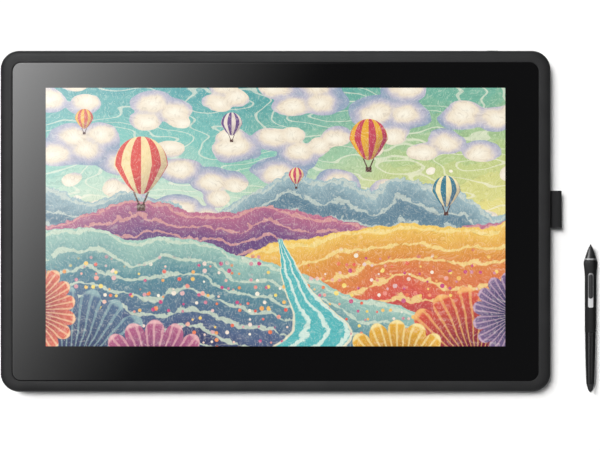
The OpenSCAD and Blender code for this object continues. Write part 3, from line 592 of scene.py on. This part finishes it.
# Openings: a row of vents, the power key's hole and its light pipe's in the top wall, and the pen loop's slot
# in the right wall.
VENT_FROM, VENT_STEP, VENTS = -140.0, 7.5, 16
VENT_LONG, VENT_WIDE = 8.0, 3.0
KEY_X, KEY_Z, KEY_LONG, KEY_WIDE = 225.6, 29.0, 12.5, 4.9
PIPE_X, PIPE_D = KEY_X + 14, 2.1
LOOP_MID, LOOP_Z, SLOT_LONG, SLOT_WIDE = 12.6, 23.4, 39.1, 3.3
TOP_CUT, SIDE_CUT, CUT_REACH = BODY_H / 2 - 1, BODY_W / 2 - 1, 4.0
vents = np.array([VENT_FROM, TOP_CUT, KEY_Z]) + np.arange(VENTS)[:, None] * np.array([VENT_STEP, 0.0, 0.0])
slot = np.array([[-1, -1], [1, -1], [1, 1], [-1, 1]]) * np.array([SLOT_LONG / 2, SLOT_WIDE / 2])
for outline, centres, long_way, wide_way in (
        (stadium(VENT_LONG, VENT_WIDE), vents, (0, 0, 1), (1, 0, 0)),
        (stadium(KEY_LONG, KEY_WIDE), [[KEY_X, TOP_CUT, KEY_Z]], (1, 0, 0), (0, 0, 1)),
        (stadium(PIPE_D, PIPE_D - 1e-4), [[PIPE_X, TOP_CUT, KEY_Z]], (1, 0, 0), (0, 0, 1)),
        (slot, [[SIDE_CUT, LOOP_MID, LOOP_Z]], (0, 1, 0), (0, 0, 1))):
    points, faces = prisms(outline, centres, long_way, wide_way, CUT_REACH)
    cut_away(bezel, on_tablet(points), faces)
frame_plastic = moulded("frame_plastic", grey(0.0142, 0.0148), grey(0.0178, 0.0185), 0.5, 2600.0, 4e-5)
dress(bezel, frame_plastic, "tablet", "front_bezel")


# Power key: a small pill of the bezel's plastic in the top wall, pressed against a switch behind it.
# It stands four tenths proud, and a clear light pipe shows beside it.
dress(merged_copy("power_pill", "power_button"), frame_plastic, "power_key", "power_button")


# Cover glass: one sheet over the whole front, with a black ink border behind it and the lit panel bonded
# on. Its edge is ground to a fine round, and it lies just under the bezel's lip with an even gap.
GLASS_W, GLASS_H, GLASS_R, GLASS_TOP, GLASS_BOT, GROUND_R = 546.18, 330.58, 9.74, 39.4, 37.2, 0.45
ground_in, ground_drop = quarter_round(GROUND_R, 6)
glass_in = np.r_[0.0, 0.0, ground_in, 1.2, 4.0]
glass_z = np.r_[GLASS_BOT, GLASS_BOT + 0.6, GLASS_TOP - ground_drop, GLASS_TOP, GLASS_TOP]
sheet_of_glass = skin("screen_glass", on_tablet(OPEN_MID + rounded_rings(
    keys, GLASS_W - 2 * glass_in, GLASS_H - 2 * glass_in, GLASS_R - glass_in, glass_z)), crease=60)
screen, lit_tree, lit_shader = finish("lit_screen", Base_Color=grey(0.0042, 0.0045), Emission_Strength=1.0)
at = own_place(lit_tree)
glass_x, glass_y = split(at)[:2]
PICTURE_W, PICTURE_H, PICTURE_RISE = 476.6, 268.1, 4.4
x = (glass_x - TABLET_MID[0] / 1000) * (1000 / PICTURE_H)
y = (glass_y - (TABLET_MID[1] + PICTURE_RISE) / 1000) * (1000 / PICTURE_H) + 0.5


def hue(red, green, blue):
    """A display colour from 0 to 255, turned into linear light: (c + 0.055) / 1.055 to the power 2.4."""
    return tuple(((np.array([red, green, blue]) / 255 + 0.055) / 1.055) ** 2.4) + (1.0,)


def vector(*parts):
    """Three wires or numbers as one vector."""
    made = add_node(lit_tree, "ShaderNodeCombineXYZ")
    feed(made.inputs, *parts)
    return made.outputs[0]


def ramp(share, *stops):
    """A colour ramp: pairs of a place from 0 to 1 and a colour."""
    made = add_node(lit_tree, "ShaderNodeValToRGB")
    feed(made.inputs, share)
    marks = made.color_ramp.elements
    for k, (spot, colour) in enumerate(stops):
        stop = marks[k] if k < 2 else marks.new(spot)
        stop.position, stop.color = spot, colour
    return made.outputs[0]


def cells(where, scale, feature="F1", smooth=0.0):
    """A Voronoi Texture in two dimensions: the distance to the nearest cell point, and the cell's colour."""
    made = add_node(lit_tree, "ShaderNodeTexVoronoi", voronoi_dimensions="2D", feature=feature)
    plug(made, Vector=where, Scale=scale)
    if smooth:
        plug(made, Smoothness=smooth)
    return Wire(made.outputs["Distance"]), made.outputs["Color"]


def waves(along, *terms):
    """A sum of sines: each term is a height, a number of radians per unit, and a phase."""
    total = 0.0
    for high, fast, phase in terms:
        total = (along * fast + phase).sin() * high + total
    return total


def lay(colour, mask):
    """Paints a colour over the picture so far where the mask is 1."""
    global painted
    painted = tint(painted, colour, mask)


plane = vector(x, y, 0.0)
wobble = noise(plane, 5.0, 4.0, 0.55, "2D") - 0.5
fine = noise(plane, 26.0, 4.0, 0.6, "2D") - 0.5

# Sky of the picture: stepped bands from teal down to cream, yellower to the right, with pale wind lines.
height = y + waves(x, (0.035, 3.1, 0.6), (0.02, 7.3, 2.0)) + wobble * 0.16
bands = height * 0.45 + (height * 15.0).op("FLOOR") * (0.55 / 15)
cool = ramp(bands, (0.36, hue(243, 236, 206)), (0.55, hue(198, 225, 205)), (0.74, hue(131, 199, 189)),
            (0.98, hue(84, 163, 168)))
warm = ramp(bands, (0.36, hue(250, 232, 168)), (0.55, hue(232, 222, 140)), (0.74, hue(186, 206, 142)),
            (0.98, hue(120, 182, 160)))
painted = tint(cool, warm, (x + wobble * 0.5).rise(-0.35, 0.75))
drift = noise(vector(x * 0.9, y * 2.6, 0.0), 2.1, 2.0, 0.4, "2D")
wind = ((drift * 11.0).op("FRACT") - 0.5).size()
lay(hue(250, 246, 226), (0.075 - wind).rise(0.0, 0.03) * 0.5)

# Cloud banks: rounded heaps where a slow noise gathers them, cream above and lilac below.
puff = cells(vector(x + wobble * 0.08, y * 1.55, 0.0), 6.5, "SMOOTH_F1", 0.25)[0]
gather = noise(vector(x * 0.8, y * 2.2, 3.0), 2.3, 1.0, 0.4)
heap = gather * 1.5 - puff * 0.9 - 0.36
cloud = heap.rise(0.0, 0.012) * y.rise(0.46, 0.5)
lay(ramp(puff + fine * 0.2, (0.05, hue(253, 246, 228)), (0.28, hue(240, 226, 204)),
         (0.42, hue(196, 192, 206)), (0.6, hue(150, 168, 190))), cloud)


def ridge(level, depth_tone, terms, tone, line, count, edge, jag, steep=0.0):
    """Lays a hill over what is painted: a sum of sines with a broken edge, toned by depth, ruled with lines
    that follow its crest. The depth below the crest drives both, and the mask."""
    crest = waves(x, *terms) + x * steep + wobble * 0.07 + fine * jag + level
    depth = crest - y
    body = ramp((depth + wobble * 0.06) * depth_tone, *tone)
    ruled = (((depth + wobble * 0.05) * count).sin() + fine * 1.1).rise(0.72, 0.9)
    lay(tint(body, line, ruled * 0.75), depth.rise(0.0, edge))


# Far peaks in slate, then plum hills, each with a broken crest.
ridge(0.60, 3.2, [(0.06, 4.7, 0.3), (0.035, 11.0, 1.0), (0.012, 29.0, 0.0)],
      [(0.0, hue(170, 196, 200)), (0.35, hue(102, 134, 152)), (1.0, hue(150, 172, 178))],
      hue(206, 216, 206), 95.0, 0.004, 0.05)
ridge(0.50, 3.5, [(0.05, 3.3, 2.6), (0.022, 9.0, 0.4)],
      [(0.0, hue(196, 120, 146)), (0.4, hue(120, 86, 134)), (1.0, hue(92, 84, 128))],
      hue(226, 168, 160), 120.0, 0.004, 0.03)

# Near hills: slate and teal on the left, coral and ochre on the right, with a river between.
ridge(0.37, 2.6, [(0.04, 4.1, 0.5), (0.014, 13.0, 1.2)],
      [(0.0, hue(246, 206, 104)), (0.3, hue(228, 156, 74)), (0.75, hue(219, 92, 80)),
       (1.0, hue(160, 64, 78))], hue(250, 226, 150), 88.0, 0.003, 0.02, 0.16)
ridge(0.29, 2.6, [(0.045, 3.6, 2.4), (0.012, 15.0, 0.2)],
      [(0.0, hue(168, 206, 190)), (0.35, hue(98, 146, 156)), (0.8, hue(86, 104, 138)),
       (1.0, hue(70, 76, 112))], hue(214, 226, 204), 96.0, 0.003, 0.02, -0.22)
middle = waves(y, (0.2, 8.2, 0.4), (0.05, 17.0, 1.0)) * (0.52 - y) * 1.6 + 0.03
half = (0.43 - y).op("MAXIMUM", 0.0).op("POWER", 1.4) * 0.42 + 0.007
flow = (x - middle + wobble * 0.05) / half
downstream = (0.42 - y).rise(0.0, 0.01)
river = (1.0 - flow.size()).rise(0.0, 0.06) * downstream
stream = (flow * 9.0 + fine * 4.0).sin().rise(0.4, 0.85)
lay(tint(hue(92, 186, 188), hue(232, 246, 232), stream * 0.8), river)
lay(hue(250, 240, 208), (0.07 - (flow.size() - 1.0).size()).rise(0.0, 0.05) * downstream * 0.8)

# Meadow flowers: small round blooms of mixed colours scattered over the near hills.
bloom, bloom_hue = cells(plane, 34.0)
pick = add_node(lit_tree, "ShaderNodeSeparateColor")
feed(pick.inputs, bloom_hue)
kind, some = Wire(pick.outputs[0]), Wire(pick.outputs[1])
petals = ramp(kind, (0.0, hue(250, 226, 120)), (0.35, hue(236, 96, 84)), (0.6, hue(252, 244, 224)),
              (0.85, hue(206, 84, 132)))
meadow = (0.36 - y + wobble * 0.2).rise(0.0, 0.05) * (1.0 - river)
lay(petals, (some * 0.34 - bloom).rise(0.0, 0.05) * some.rise(0.45, 0.5) * meadow)


# Fan leaves: scalloped fans with rays, growing from below the picture's edge.
fan, fan_in, fan_out = group("fan_leaf", {"X": 0.0, "Y": 0.0, "Reach": 0.3, "Lobes": 12.0},
                             "Mask", "Ray", "Along")
fx, fy, reach, lobes = (Wire(o) for o in fan_in.outputs[:4])
far = (fx * fx + fy * fy).op("SQRT")
turned = fy.op("ARCTAN2", fx)
lobe = (turned * lobes).sin().size()
rim = reach * (lobe.op("POWER", 0.5) * 0.2 + 0.82)
rays = (turned * lobes * 5.0).sin().rise(0.3, 0.9)
feed(fan_out.inputs, (rim - far).rise(0.0, 0.006), rays, far / reach)
for fan_x, fan_y, wide, lobe_count, low_tone, high_tone, ray_tone in (
        (-0.80, -0.13, 0.36, 11.0, hue(52, 58, 96), hue(94, 122, 150), hue(160, 190, 190)),
        (0.78, -0.10, 0.33, 10.0, hue(118, 38, 66), hue(226, 96, 74), hue(250, 196, 120)),
        (-0.47, -0.16, 0.26, 9.0, hue(84, 56, 104), hue(190, 104, 140), hue(240, 190, 190)),
        (0.47, -0.15, 0.25, 9.0, hue(150, 84, 30), hue(240, 184, 70), hue(252, 236, 170)),
        (0.93, 0.12, 0.17, 8.0, hue(60, 62, 96), hue(134, 110, 150), hue(214, 180, 200)),
        (-0.95, 0.14, 0.18, 8.0, hue(150, 60, 70), hue(230, 120, 96), hue(252, 216, 170))):
    leaf = place(lit_tree, fan, X=x - fan_x + wobble * 0.03, Y=y - fan_y, Reach=wide, Lobes=lobe_count)
    lay(tint(ramp(leaf["Along"], (0.3, low_tone), (1.0, high_tone)), ray_tone, leaf["Ray"] * 0.55),
        leaf["Mask"])
    lay(ray_tone, leaf["Mask"] * leaf["Along"].rise(0.93, 0.97) * 0.8)


# Balloons: striped round bags over a small basket, drifting over the hills.
balloon, bag_in, bag_out = group("balloon", {"X": 0.0, "Y": 0.0, "Radius": 0.1},
                                 "Bag", "Gore", "Shade", "Basket")
bx, by = (Wire(bag_in.outputs[k]) / Wire(bag_in.outputs["Radius"]) for k in range(2))
waist = bx * ((by * -1.0).op("MAXIMUM", 0.0) * 0.55 + 1.0)
round_bag = (waist * waist + by * by * 0.86).op("SQRT")
across = waist / (1.06 - by * by * 0.86).op("MAXIMUM", 0.04).op("SQRT")
ropes = (0.05 - (bx.size() - (by + 1.62) * 0.42).size()).rise(0.0, 0.03) * (by * -1.0).rise(0.95, 1.0) \
    * (by + 1.55).rise(0.0, 0.02)
crate = (0.17 - bx.size()).rise(0.0, 0.03) * (0.14 - (by + 1.55).size()).rise(0.0, 0.03)
feed(bag_out.inputs, (1.0 - round_bag).rise(0.0, 0.03),
     (across.op("ARCSINE") * 8.0).sin().rise(-0.12, 0.12), bx * 0.4 - by * 0.34 + 0.5,
     ropes.op("MAXIMUM", crate))
for bag_x, bag_y, wide, one, two in (
        (-0.52, 0.70, 0.105, hue(226, 84, 76), hue(250, 226, 170)),
        (0.36, 0.80, 0.075, hue(238, 180, 66), hue(206, 78, 96)),
        (-0.17, 0.86, 0.042, hue(112, 84, 140), hue(240, 226, 214)),
        (0.66, 0.60, 0.056, hue(70, 130, 150), hue(248, 232, 180)),
        (-0.74, 0.88, 0.036, hue(240, 190, 84), hue(220, 96, 84)),
        (0.08, 0.66, 0.030, hue(206, 78, 110), hue(250, 220, 160))):
    bag = place(lit_tree, balloon, X=x - bag_x, Y=y - bag_y, Radius=wide)
    striped = tint(one, two, bag["Gore"])
    shaded = (bag["Shade"] + fine * 0.3).rise(0.35, 1.15) * 0.55
    lay(hue(92, 62, 58), bag["Basket"])
    lay(tint(striped, hue(86, 52, 92), shaded), bag["Bag"])

# Brush work: short strokes lighten and darken the paint, and fine specks of light lie over it.
stroke = noise(vector(x * 3.2 + wobble, y, 0.0), 42.0, 3.0, 0.6, "2D")
lay(hue(44, 36, 62), stroke.rise(0.46, 0.8) * 0.2)
lay(hue(255, 250, 232), (0.5 - stroke).rise(0.0, 0.25) * 0.24)
speck = cells(plane, 70.0)[0]
lay(hue(255, 250, 226), (0.07 - speck).rise(0.0, 0.02) * 0.7)

lit_area = (PICTURE_W / PICTURE_H / 2 - x.size()).op("GREATER_THAN", 0.0) \
    * (0.5 - (y - 0.5).size()).op("GREATER_THAN", 0.0)
smudge = noise(at, 34.0, 5.0, 0.65).rise(0.5, 0.8)
plug(lit_shader, Emission_Color=tint(grey(0.0), painted, lit_area), Roughness=smudge * 0.035 + 0.07)
dress(sheet_of_glass, screen, "tablet", "cover_glass")


# Pen loop: a band of black woven webbing bent to an eye, its ends sewn together and put through a slot in
# the right wall, where a bar holds them inside the case.
# Its path runs out through the slot, eases up along a power curve into the round eye, and comes back alike.
LOOP_IN, LOOP_OUT, LOOP_X, LOOP_R, LOOP_WIDE, WEB = 279.8, 285.7, 292.25, 5.25, 38.6, 1.3
LEG_RISE, EYE_TURN = 0.68, 0.8 * math.pi
leg = np.linspace(0.0, 1.0, 10)
bow = np.linspace(-EYE_TURN, EYE_TURN, 56)
eye_x, eye_z = LOOP_X + LOOP_R * math.cos(EYE_TURN), LOOP_R * math.sin(EYE_TURN)
ease = leg[1:-1]
neck_x = LOOP_OUT + (eye_x - LOOP_OUT) * (1.6 * ease - 0.6 * ease ** 2)
neck_z = LEG_RISE + (eye_z - LEG_RISE) * ease ** 1.7
path = np.concatenate([
    np.stack([LOOP_IN + (LOOP_OUT - LOOP_IN) * leg, np.full(10, LOOP_Z - LEG_RISE)], -1),
    np.stack([neck_x, LOOP_Z - neck_z], -1),
    np.stack([LOOP_X + LOOP_R * np.cos(bow), LOOP_Z + LOOP_R * np.sin(bow)], -1),
    np.stack([neck_x, LOOP_Z + neck_z], -1)[::-1],
    np.stack([LOOP_OUT + (LOOP_IN - LOOP_OUT) * leg, np.full(10, LOOP_Z + LEG_RISE)], -1)])
heading = np.gradient(path, axis=0)
heading /= np.linalg.norm(heading, axis=1)[:, None]
square_off = np.stack([-heading[:, 1], heading[:, 0]], -1)
band = rounded_rings(ring_keys(5, 24), [LOOP_WIDE], [WEB], [WEB / 2 - 0.02], [0.0])[0]
loop_x = path[:, :1] + square_off[:, :1] * band[None, :, 1]
loop_z = path[:, 1:] + square_off[:, 1:] * band[None, :, 1]
loop_y = LOOP_MID + np.broadcast_to(band[None, :, 0], loop_x.shape)
length = np.r_[0.0, np.cumsum(np.linalg.norm(np.diff(path, axis=0), axis=1))]
loop_uv = np.stack([loop_y - LOOP_MID, np.broadcast_to(length[:, None], loop_x.shape)], -1)
loop = skin("webbing_loop", on_tablet(np.stack([loop_x, loop_y, loop_z], -1)), crease=50, uv=loop_uv)
webbing, web_tree, web_shader = finish("woven_webbing", Specular_IOR_Level=0.3)

# The weave: warp threads lie side by side across the band, and dip under the weft picks by turns along it.
WARP_STEP, PICK_STEP = 1.05, 0.7
web_u, web_v = split(add_node(web_tree, "ShaderNodeUVMap", uv_map="surface").outputs[0])[:2]
over, along = web_u * (math.pi / WARP_STEP), web_v * (math.pi / PICK_STEP)
dip = (along + over.sin().op("SIGN") * 0.8).sin() * 0.5
warp = over.sin().size() * (dip + 0.5)
weft = along.sin().size() * (0.5 - dip)
thread = warp.op("MAXIMUM", weft * 0.8)
lint = noise(own_place(web_tree), 900.0, 4.0, 0.7)
# Colour: the thread crowns are lighter and the dips between threads darker, which is painted shade in the
# weave; the lint adds random tone.
weave_shade_and_lint = tint(grey(0.008, 0.0085), grey(0.034, 0.0355), thread * 0.8 + lint * 0.25)
plug(web_shader, Base_Color=weave_shade_and_lint, Roughness=0.92 - thread * 0.15)
bump(web_shader, thread + lint * 0.2, 0.8, 2.5e-4)
dress(loop, webbing, "tablet", "pen_loop")


# Pen: turned pieces on one axis, tip forward, lying on its flare and on the end of its grip.
# Every piece below is worked out from its distance from the tip and its distance from that axis.
FLARE_AT, FLARE_R, GRIP_END, GRIP_END_R, CORE_R = 20.0, 7.3, 92.15, 5.925, 4.63
LEAN = math.atan((FLARE_R - GRIP_END_R) / (GRIP_END - FLARE_AT))
TIP = np.array([304.15, -23.02818, 7.67976])
TAILWARD = np.array([0.0, -math.cos(LEAN), -math.sin(LEAN)])
UPWARD = np.array([0.0, -math.sin(LEAN), math.cos(LEAN)])
SIDEWARD = np.array([1.0, 0.0, 0.0])


def on_pen(station, side, rise):
    """A point of the pen in metres: the tip plus station along the axis, side across it and rise above it."""
    across = side[..., None] * SIDEWARD + rise[..., None] * UPWARD
    return (TIP + station[..., None] * TAILWARD + across) / 1000


def turned_piece(name, stations, radii, closed, around=96):
    """A turned piece: each station's radius swept round the axis. A closed profile comes back on itself
    as a sleeve; an open one ends on the axis."""
    turn = np.arange(around) * 2 * np.pi / around
    s, r = np.asarray(stations, float)[:, None], np.asarray(radii, float)[:, None]
    grid = on_pen(s + 0 * turn, r * np.cos(turn), r * np.sin(turn))
    return skin(name, grid, wrap_rows=closed)


# Nib: a thin rod of hard plastic with a rounded point, pushed into a holder inside the pen.
# It slides into the nose when pressed.
NIB_R = 0.9
nib_plastic = moulded("nib_plastic", grey(0.02, 0.021), grey(0.03, 0.032), 0.5, 5000.0, 2e-5)
nib_turn = np.linspace(0.0, np.pi / 2, 9)
nib_s = np.r_[NIB_R * (1 - np.cos(nib_turn)), 3.0, 20.0, 26.4, 26.4]
nib_r = np.r_[NIB_R * np.sin(nib_turn), NIB_R, NIB_R, NIB_R, 0.0]
dress(turned_piece("nib", nib_s, nib_r, False, 40), nib_plastic, "nib", "pen_nib")

# Nose cone: a satin black moulding that swells back from the nib, screwed on to the pen's core.
# Its radius is a parabola of the distance from its front end, where the nib comes out of a small hole.
NOSE_AT, NIB_HOLE_R = 2.05, 1.05
nose = np.linspace(2.2, 14.52, 40)
nose_r = 1.52 + 0.434 * (nose - NOSE_AT) - 0.0052 * (nose - NOSE_AT) ** 2
nose_s = np.r_[NOSE_AT, 2.08, nose, 14.6, 14.6, 12.0, 12.0, 8.0, 7.0]
nose_ring = np.r_[NIB_HOLE_R, 1.42, nose_r, 6.06, CORE_R, CORE_R, 3.0, 3.0, NIB_HOLE_R]


def gloss(name, dark, light, rough, coat):
    """Polished plastic: a faint ripple in the surface, hairline rub marks in the gloss."""
    made, tree, shader = finish(name, Coat_Weight=coat, Coat_Roughness=rough * 0.4)
    feel = place(tree, grain, Scale=900.0)
    plug(shader, Base_Color=tint(dark, light, feel["Mottle"]), Roughness=feel["Rub"] * 0.08 + rough)
    bump(shader, feel["Height"], 0.12, 2e-5)
    return made


pen_gloss = gloss("pen_gloss", grey(0.010, 0.0107), grey(0.0135, 0.0145), 0.2, 0.6)
nose_satin = gloss("nose_satin", grey(0.013, 0.0138), grey(0.017, 0.018), 0.34, 0.35)
dress(turned_piece("nose_cone", nose_s, nose_ring, True), nose_satin,
      "pen_body", "pen_nose_cone")

# Ring: a turned metal collar between the nose and the grip, under a satin silver coat.
# It widens towards the grip, so its front face shows as a bright band.
collar = metal("turned_collar", grey(0.34, 0.345), grey(0.28, 0.285), 0.45, (4.0, 120.0, 4.0), 0.08)
ring_s = [14.54, 14.58, 14.7, 15.1, 16.0, 16.2, 16.25, 16.5, 14.54]
ring_r = [6.0, 6.16, 6.24, 6.36, 6.76, 6.8, 6.7, CORE_R, CORE_R]
dress(turned_piece("collar", ring_s, ring_r, True), collar, "pen_body", "pen_ring")

# Grip: a sleeve of soft matt rubber with a flared front, slipped over the core, with a window for the
# switch on its upper side. It swells to the flare, falls from it along half a cosine laid on a slope, and
# then tapers evenly to its end.
GRIP_AT, GRIP_AT_R, SHANK_AT, SHANK_R, SHANK_LONG = 16.52, 6.72, 33.4, 6.1, 58.7
flare = np.linspace(FLARE_AT, SHANK_AT, 40)
flare_t = (flare - FLARE_AT) / (SHANK_AT - FLARE_AT)
flare_r = FLARE_R - (FLARE_R - SHANK_R) * (0.55 * flare_t + 0.225 * (1 - np.cos(np.pi * flare_t)))
swell = np.linspace(0.0, 1.0, 12)
swell_r = GRIP_AT_R + (FLARE_R - GRIP_AT_R) * (1.35 * swell - 0.35 * swell ** 3.8)
shank = np.linspace(36.0, 91.7, 20)
shank_r = SHANK_R - (SHANK_R - GRIP_END_R) * (shank - SHANK_AT) / SHANK_LONG
grip_s = np.r_[GRIP_AT, GRIP_AT + 3.42 * swell, flare[1:], shank, 91.98, 92.08, 92.08]
grip_r = np.r_[CORE_R, swell_r, flare_r[1:], shank_r, 5.87, 5.75, CORE_R]
grip = turned_piece("grip", grip_s, grip_r, True)
SWITCH_MID, SWITCH_SIDE, SWITCH_LONG, SWITCH_WIDE, SWITCH_BLUNT = 48.0, -0.3, 36.3, 5.7, 0.42
WINDOW_GAP, WINDOW_UP, WINDOW_REACH = 0.24, 7.2, 4.0


def pad_rings(keys, long, wide, blunt, insets, levels):
    """Outlines of a long pad, drawn in by each inset: round at the front end, and at the rear end with
    corners smaller by the share blunt. The corner radius slides from one to the other along the sides."""
    draw = np.asarray(insets, float)[:, None]
    r = (wide / 2 - 0.02 - draw) * (1 - blunt * (keys[:, 0] + 1) / 2)
    x = keys[:, 0] * (long / 2 - draw - r) + r * keys[:, 2]
    y = keys[:, 1] * (wide / 2 - draw - r) + r * keys[:, 3]
    return np.stack([x, y, np.asarray(levels, float)[:, None] + 0 * x], -1)


def bent_pad(mid, rings):
    """Lays pad outlines on cylinders about the pen: a point's level is its cylinder's radius, and its rise is
    the root of that radius squared less its side squared."""
    side = rings[..., 1] + SWITCH_SIDE
    return on_pen(mid + rings[..., 0], side, np.sqrt(rings[..., 2] ** 2 - side ** 2))


def pen_window(piece, mid, outline, crease):
    """Cuts a window through the pen's upper side: a prism of the outline about the station mid."""
    points, faces = prisms(outline, [[mid, SWITCH_SIDE, WINDOW_UP]], (1, 0, 0), (0, 1, 0), WINDOW_REACH)
    cut_away(piece, on_pen(*points.T), faces, crease)


pad_keys = ring_keys(16, 10)
window = pad_rings(pad_keys, SWITCH_LONG + WINDOW_GAP, SWITCH_WIDE + WINDOW_GAP, SWITCH_BLUNT, [0.0], [0.0])
pen_window(grip, SWITCH_MID, window[0, :, :2], 35)
grip_rubber = moulded("grip_rubber", grey(0.0115, 0.0119), grey(0.016, 0.0165), 0.7, 4200.0, 4e-5)
dress(grip, grip_rubber, "pen_body", "pen_grip")

# Switch plate: a thin moulding set in the grip's window and bent to its curve, painted with metal flake.
# It is dark grey round the rocker and bright silver behind it.
PLATE_R, PLATE_ROUND = 6.25, 0.3
plate_draw, plate_fall = quarter_round(PLATE_ROUND, 5)
plate_in = np.r_[0.0, plate_draw, 0.6, 1.2, 1.8, 2.4, 2.75]
plate_r = np.r_[5.2, PLATE_R - plate_fall, [PLATE_R] * 5]
plate = skin("switch_plate", bent_pad(SWITCH_MID, pad_rings(
    pad_keys, SWITCH_LONG, SWITCH_WIDE, SWITCH_BLUNT, plate_in, plate_r)), crease=50)
ROCKER_MID, ROCKER_LONG, ROCKER_WIDE, ROCKER_GAP = 44.1, 24.9, 3.9, 0.5
pen_window(plate, ROCKER_MID, stadium(ROCKER_LONG + ROCKER_GAP, ROCKER_WIDE + ROCKER_GAP, 20), 50)
plate_paint, plate_tree, plate_shader = finish("silver_paint", Coat_Weight=0.15, Coat_Roughness=0.25)
plate_at = own_place(plate_tree)
from_tip = -0.02303 - split(plate_at)[1]
behind = from_tip.rise(0.054, 0.057)
flake = noise(plate_at, 9000.0, 2.0, 0.7)
silver = tint(grey(0.52, 0.53), grey(0.66, 0.67), flake)
two_tone = tint(grey(0.36, 0.365), silver, behind)
plug(plate_shader, Base_Color=two_tone, Metallic=0.5 - behind * 0.35, Roughness=flake * 0.15 + 0.34)
bump(plate_shader, flake, 0.2, 2e-5)
dress(plate, plate_paint, "pen_body", "pen_switch_plate")

# Rocker: a slim charcoal key with a round edge and a slight crown, moulded in satin plastic.
# It tips on a steel pin and presses one of two small switches.
ROCKER_R, ROCKER_ROUND = 6.62, 0.5
rocker_draw, rocker_fall = quarter_round(ROCKER_ROUND, 6)
rocker_in = np.r_[0.0, rocker_draw, 0.8, 1.1, 1.4, 1.7]
rocker_r = np.r_[4.95, ROCKER_R - rocker_fall, 6.68, 6.71, 6.73, 6.74]
rocker = skin("rocker", bent_pad(ROCKER_MID, pad_rings(
    pad_keys, ROCKER_LONG, ROCKER_WIDE, 0.0, rocker_in, rocker_r)), crease=50)
rocker_satin = moulded("rocker_satin", grey(0.024, 0.025), grey(0.03, 0.0315), 0.38, 3600.0, 2e-5)
dress(rocker, rocker_satin, "side_switch", "pen_rocker")

# Barrel: the glossy rear half of the pen, one black moulding pressed on to the core behind the grip.
# It tapers by a straight and a cubic part, so it falls faster towards the tail, and is bored out for the cap.
BARREL_END, TAIL_R = 146.5, 4.35
taper = np.linspace(0.004, 0.996, 60)
barrel_s = np.r_[92.17, 92.17, GRIP_END + (BARREL_END - GRIP_END) * taper, 146.48, BARREL_END, BARREL_END,
                 138.2, 138.2, 98.35, 98.35]
taper_r = GRIP_END_R - (GRIP_END_R - TAIL_R) * (0.56 * taper + 0.44 * taper ** 3)
barrel_r = np.r_[CORE_R, 5.78, taper_r, 4.33, 4.2, 3.98, 3.98, 3.6, 3.6, CORE_R]
dress(turned_piece("barrel", barrel_s, barrel_r, True), pen_gloss, "pen_body", "pen_barrel")

# Eraser: a pointed round cap of charcoal plastic, which slides into the barrel's end when pressed.
# Behind a small shoulder its point is an ogive: the radius falls as (1 - u ** 1.8) ** 0.8 along its length.
point = np.linspace(0.0, 1.0, 24) ** 0.8
eraser_s = np.r_[139.2, 139.2, 146.6, 147.2, 147.8, 148.3, 149.1, 149.6, 149.9 + 5.3 * point]
eraser_r = np.r_[0.0, 3.93, 3.93, 3.92, 3.85, 3.73, 3.43, 3.22, 3.1 * (1 - point ** 1.8) ** 0.8]
eraser_satin = moulded("eraser_satin", grey(0.022, 0.023), grey(0.03, 0.032), 0.42, 3600.0, 2e-5)
dress(turned_piece("eraser_cap", eraser_s, eraser_r, False), eraser_satin,
      "eraser", "pen_eraser")
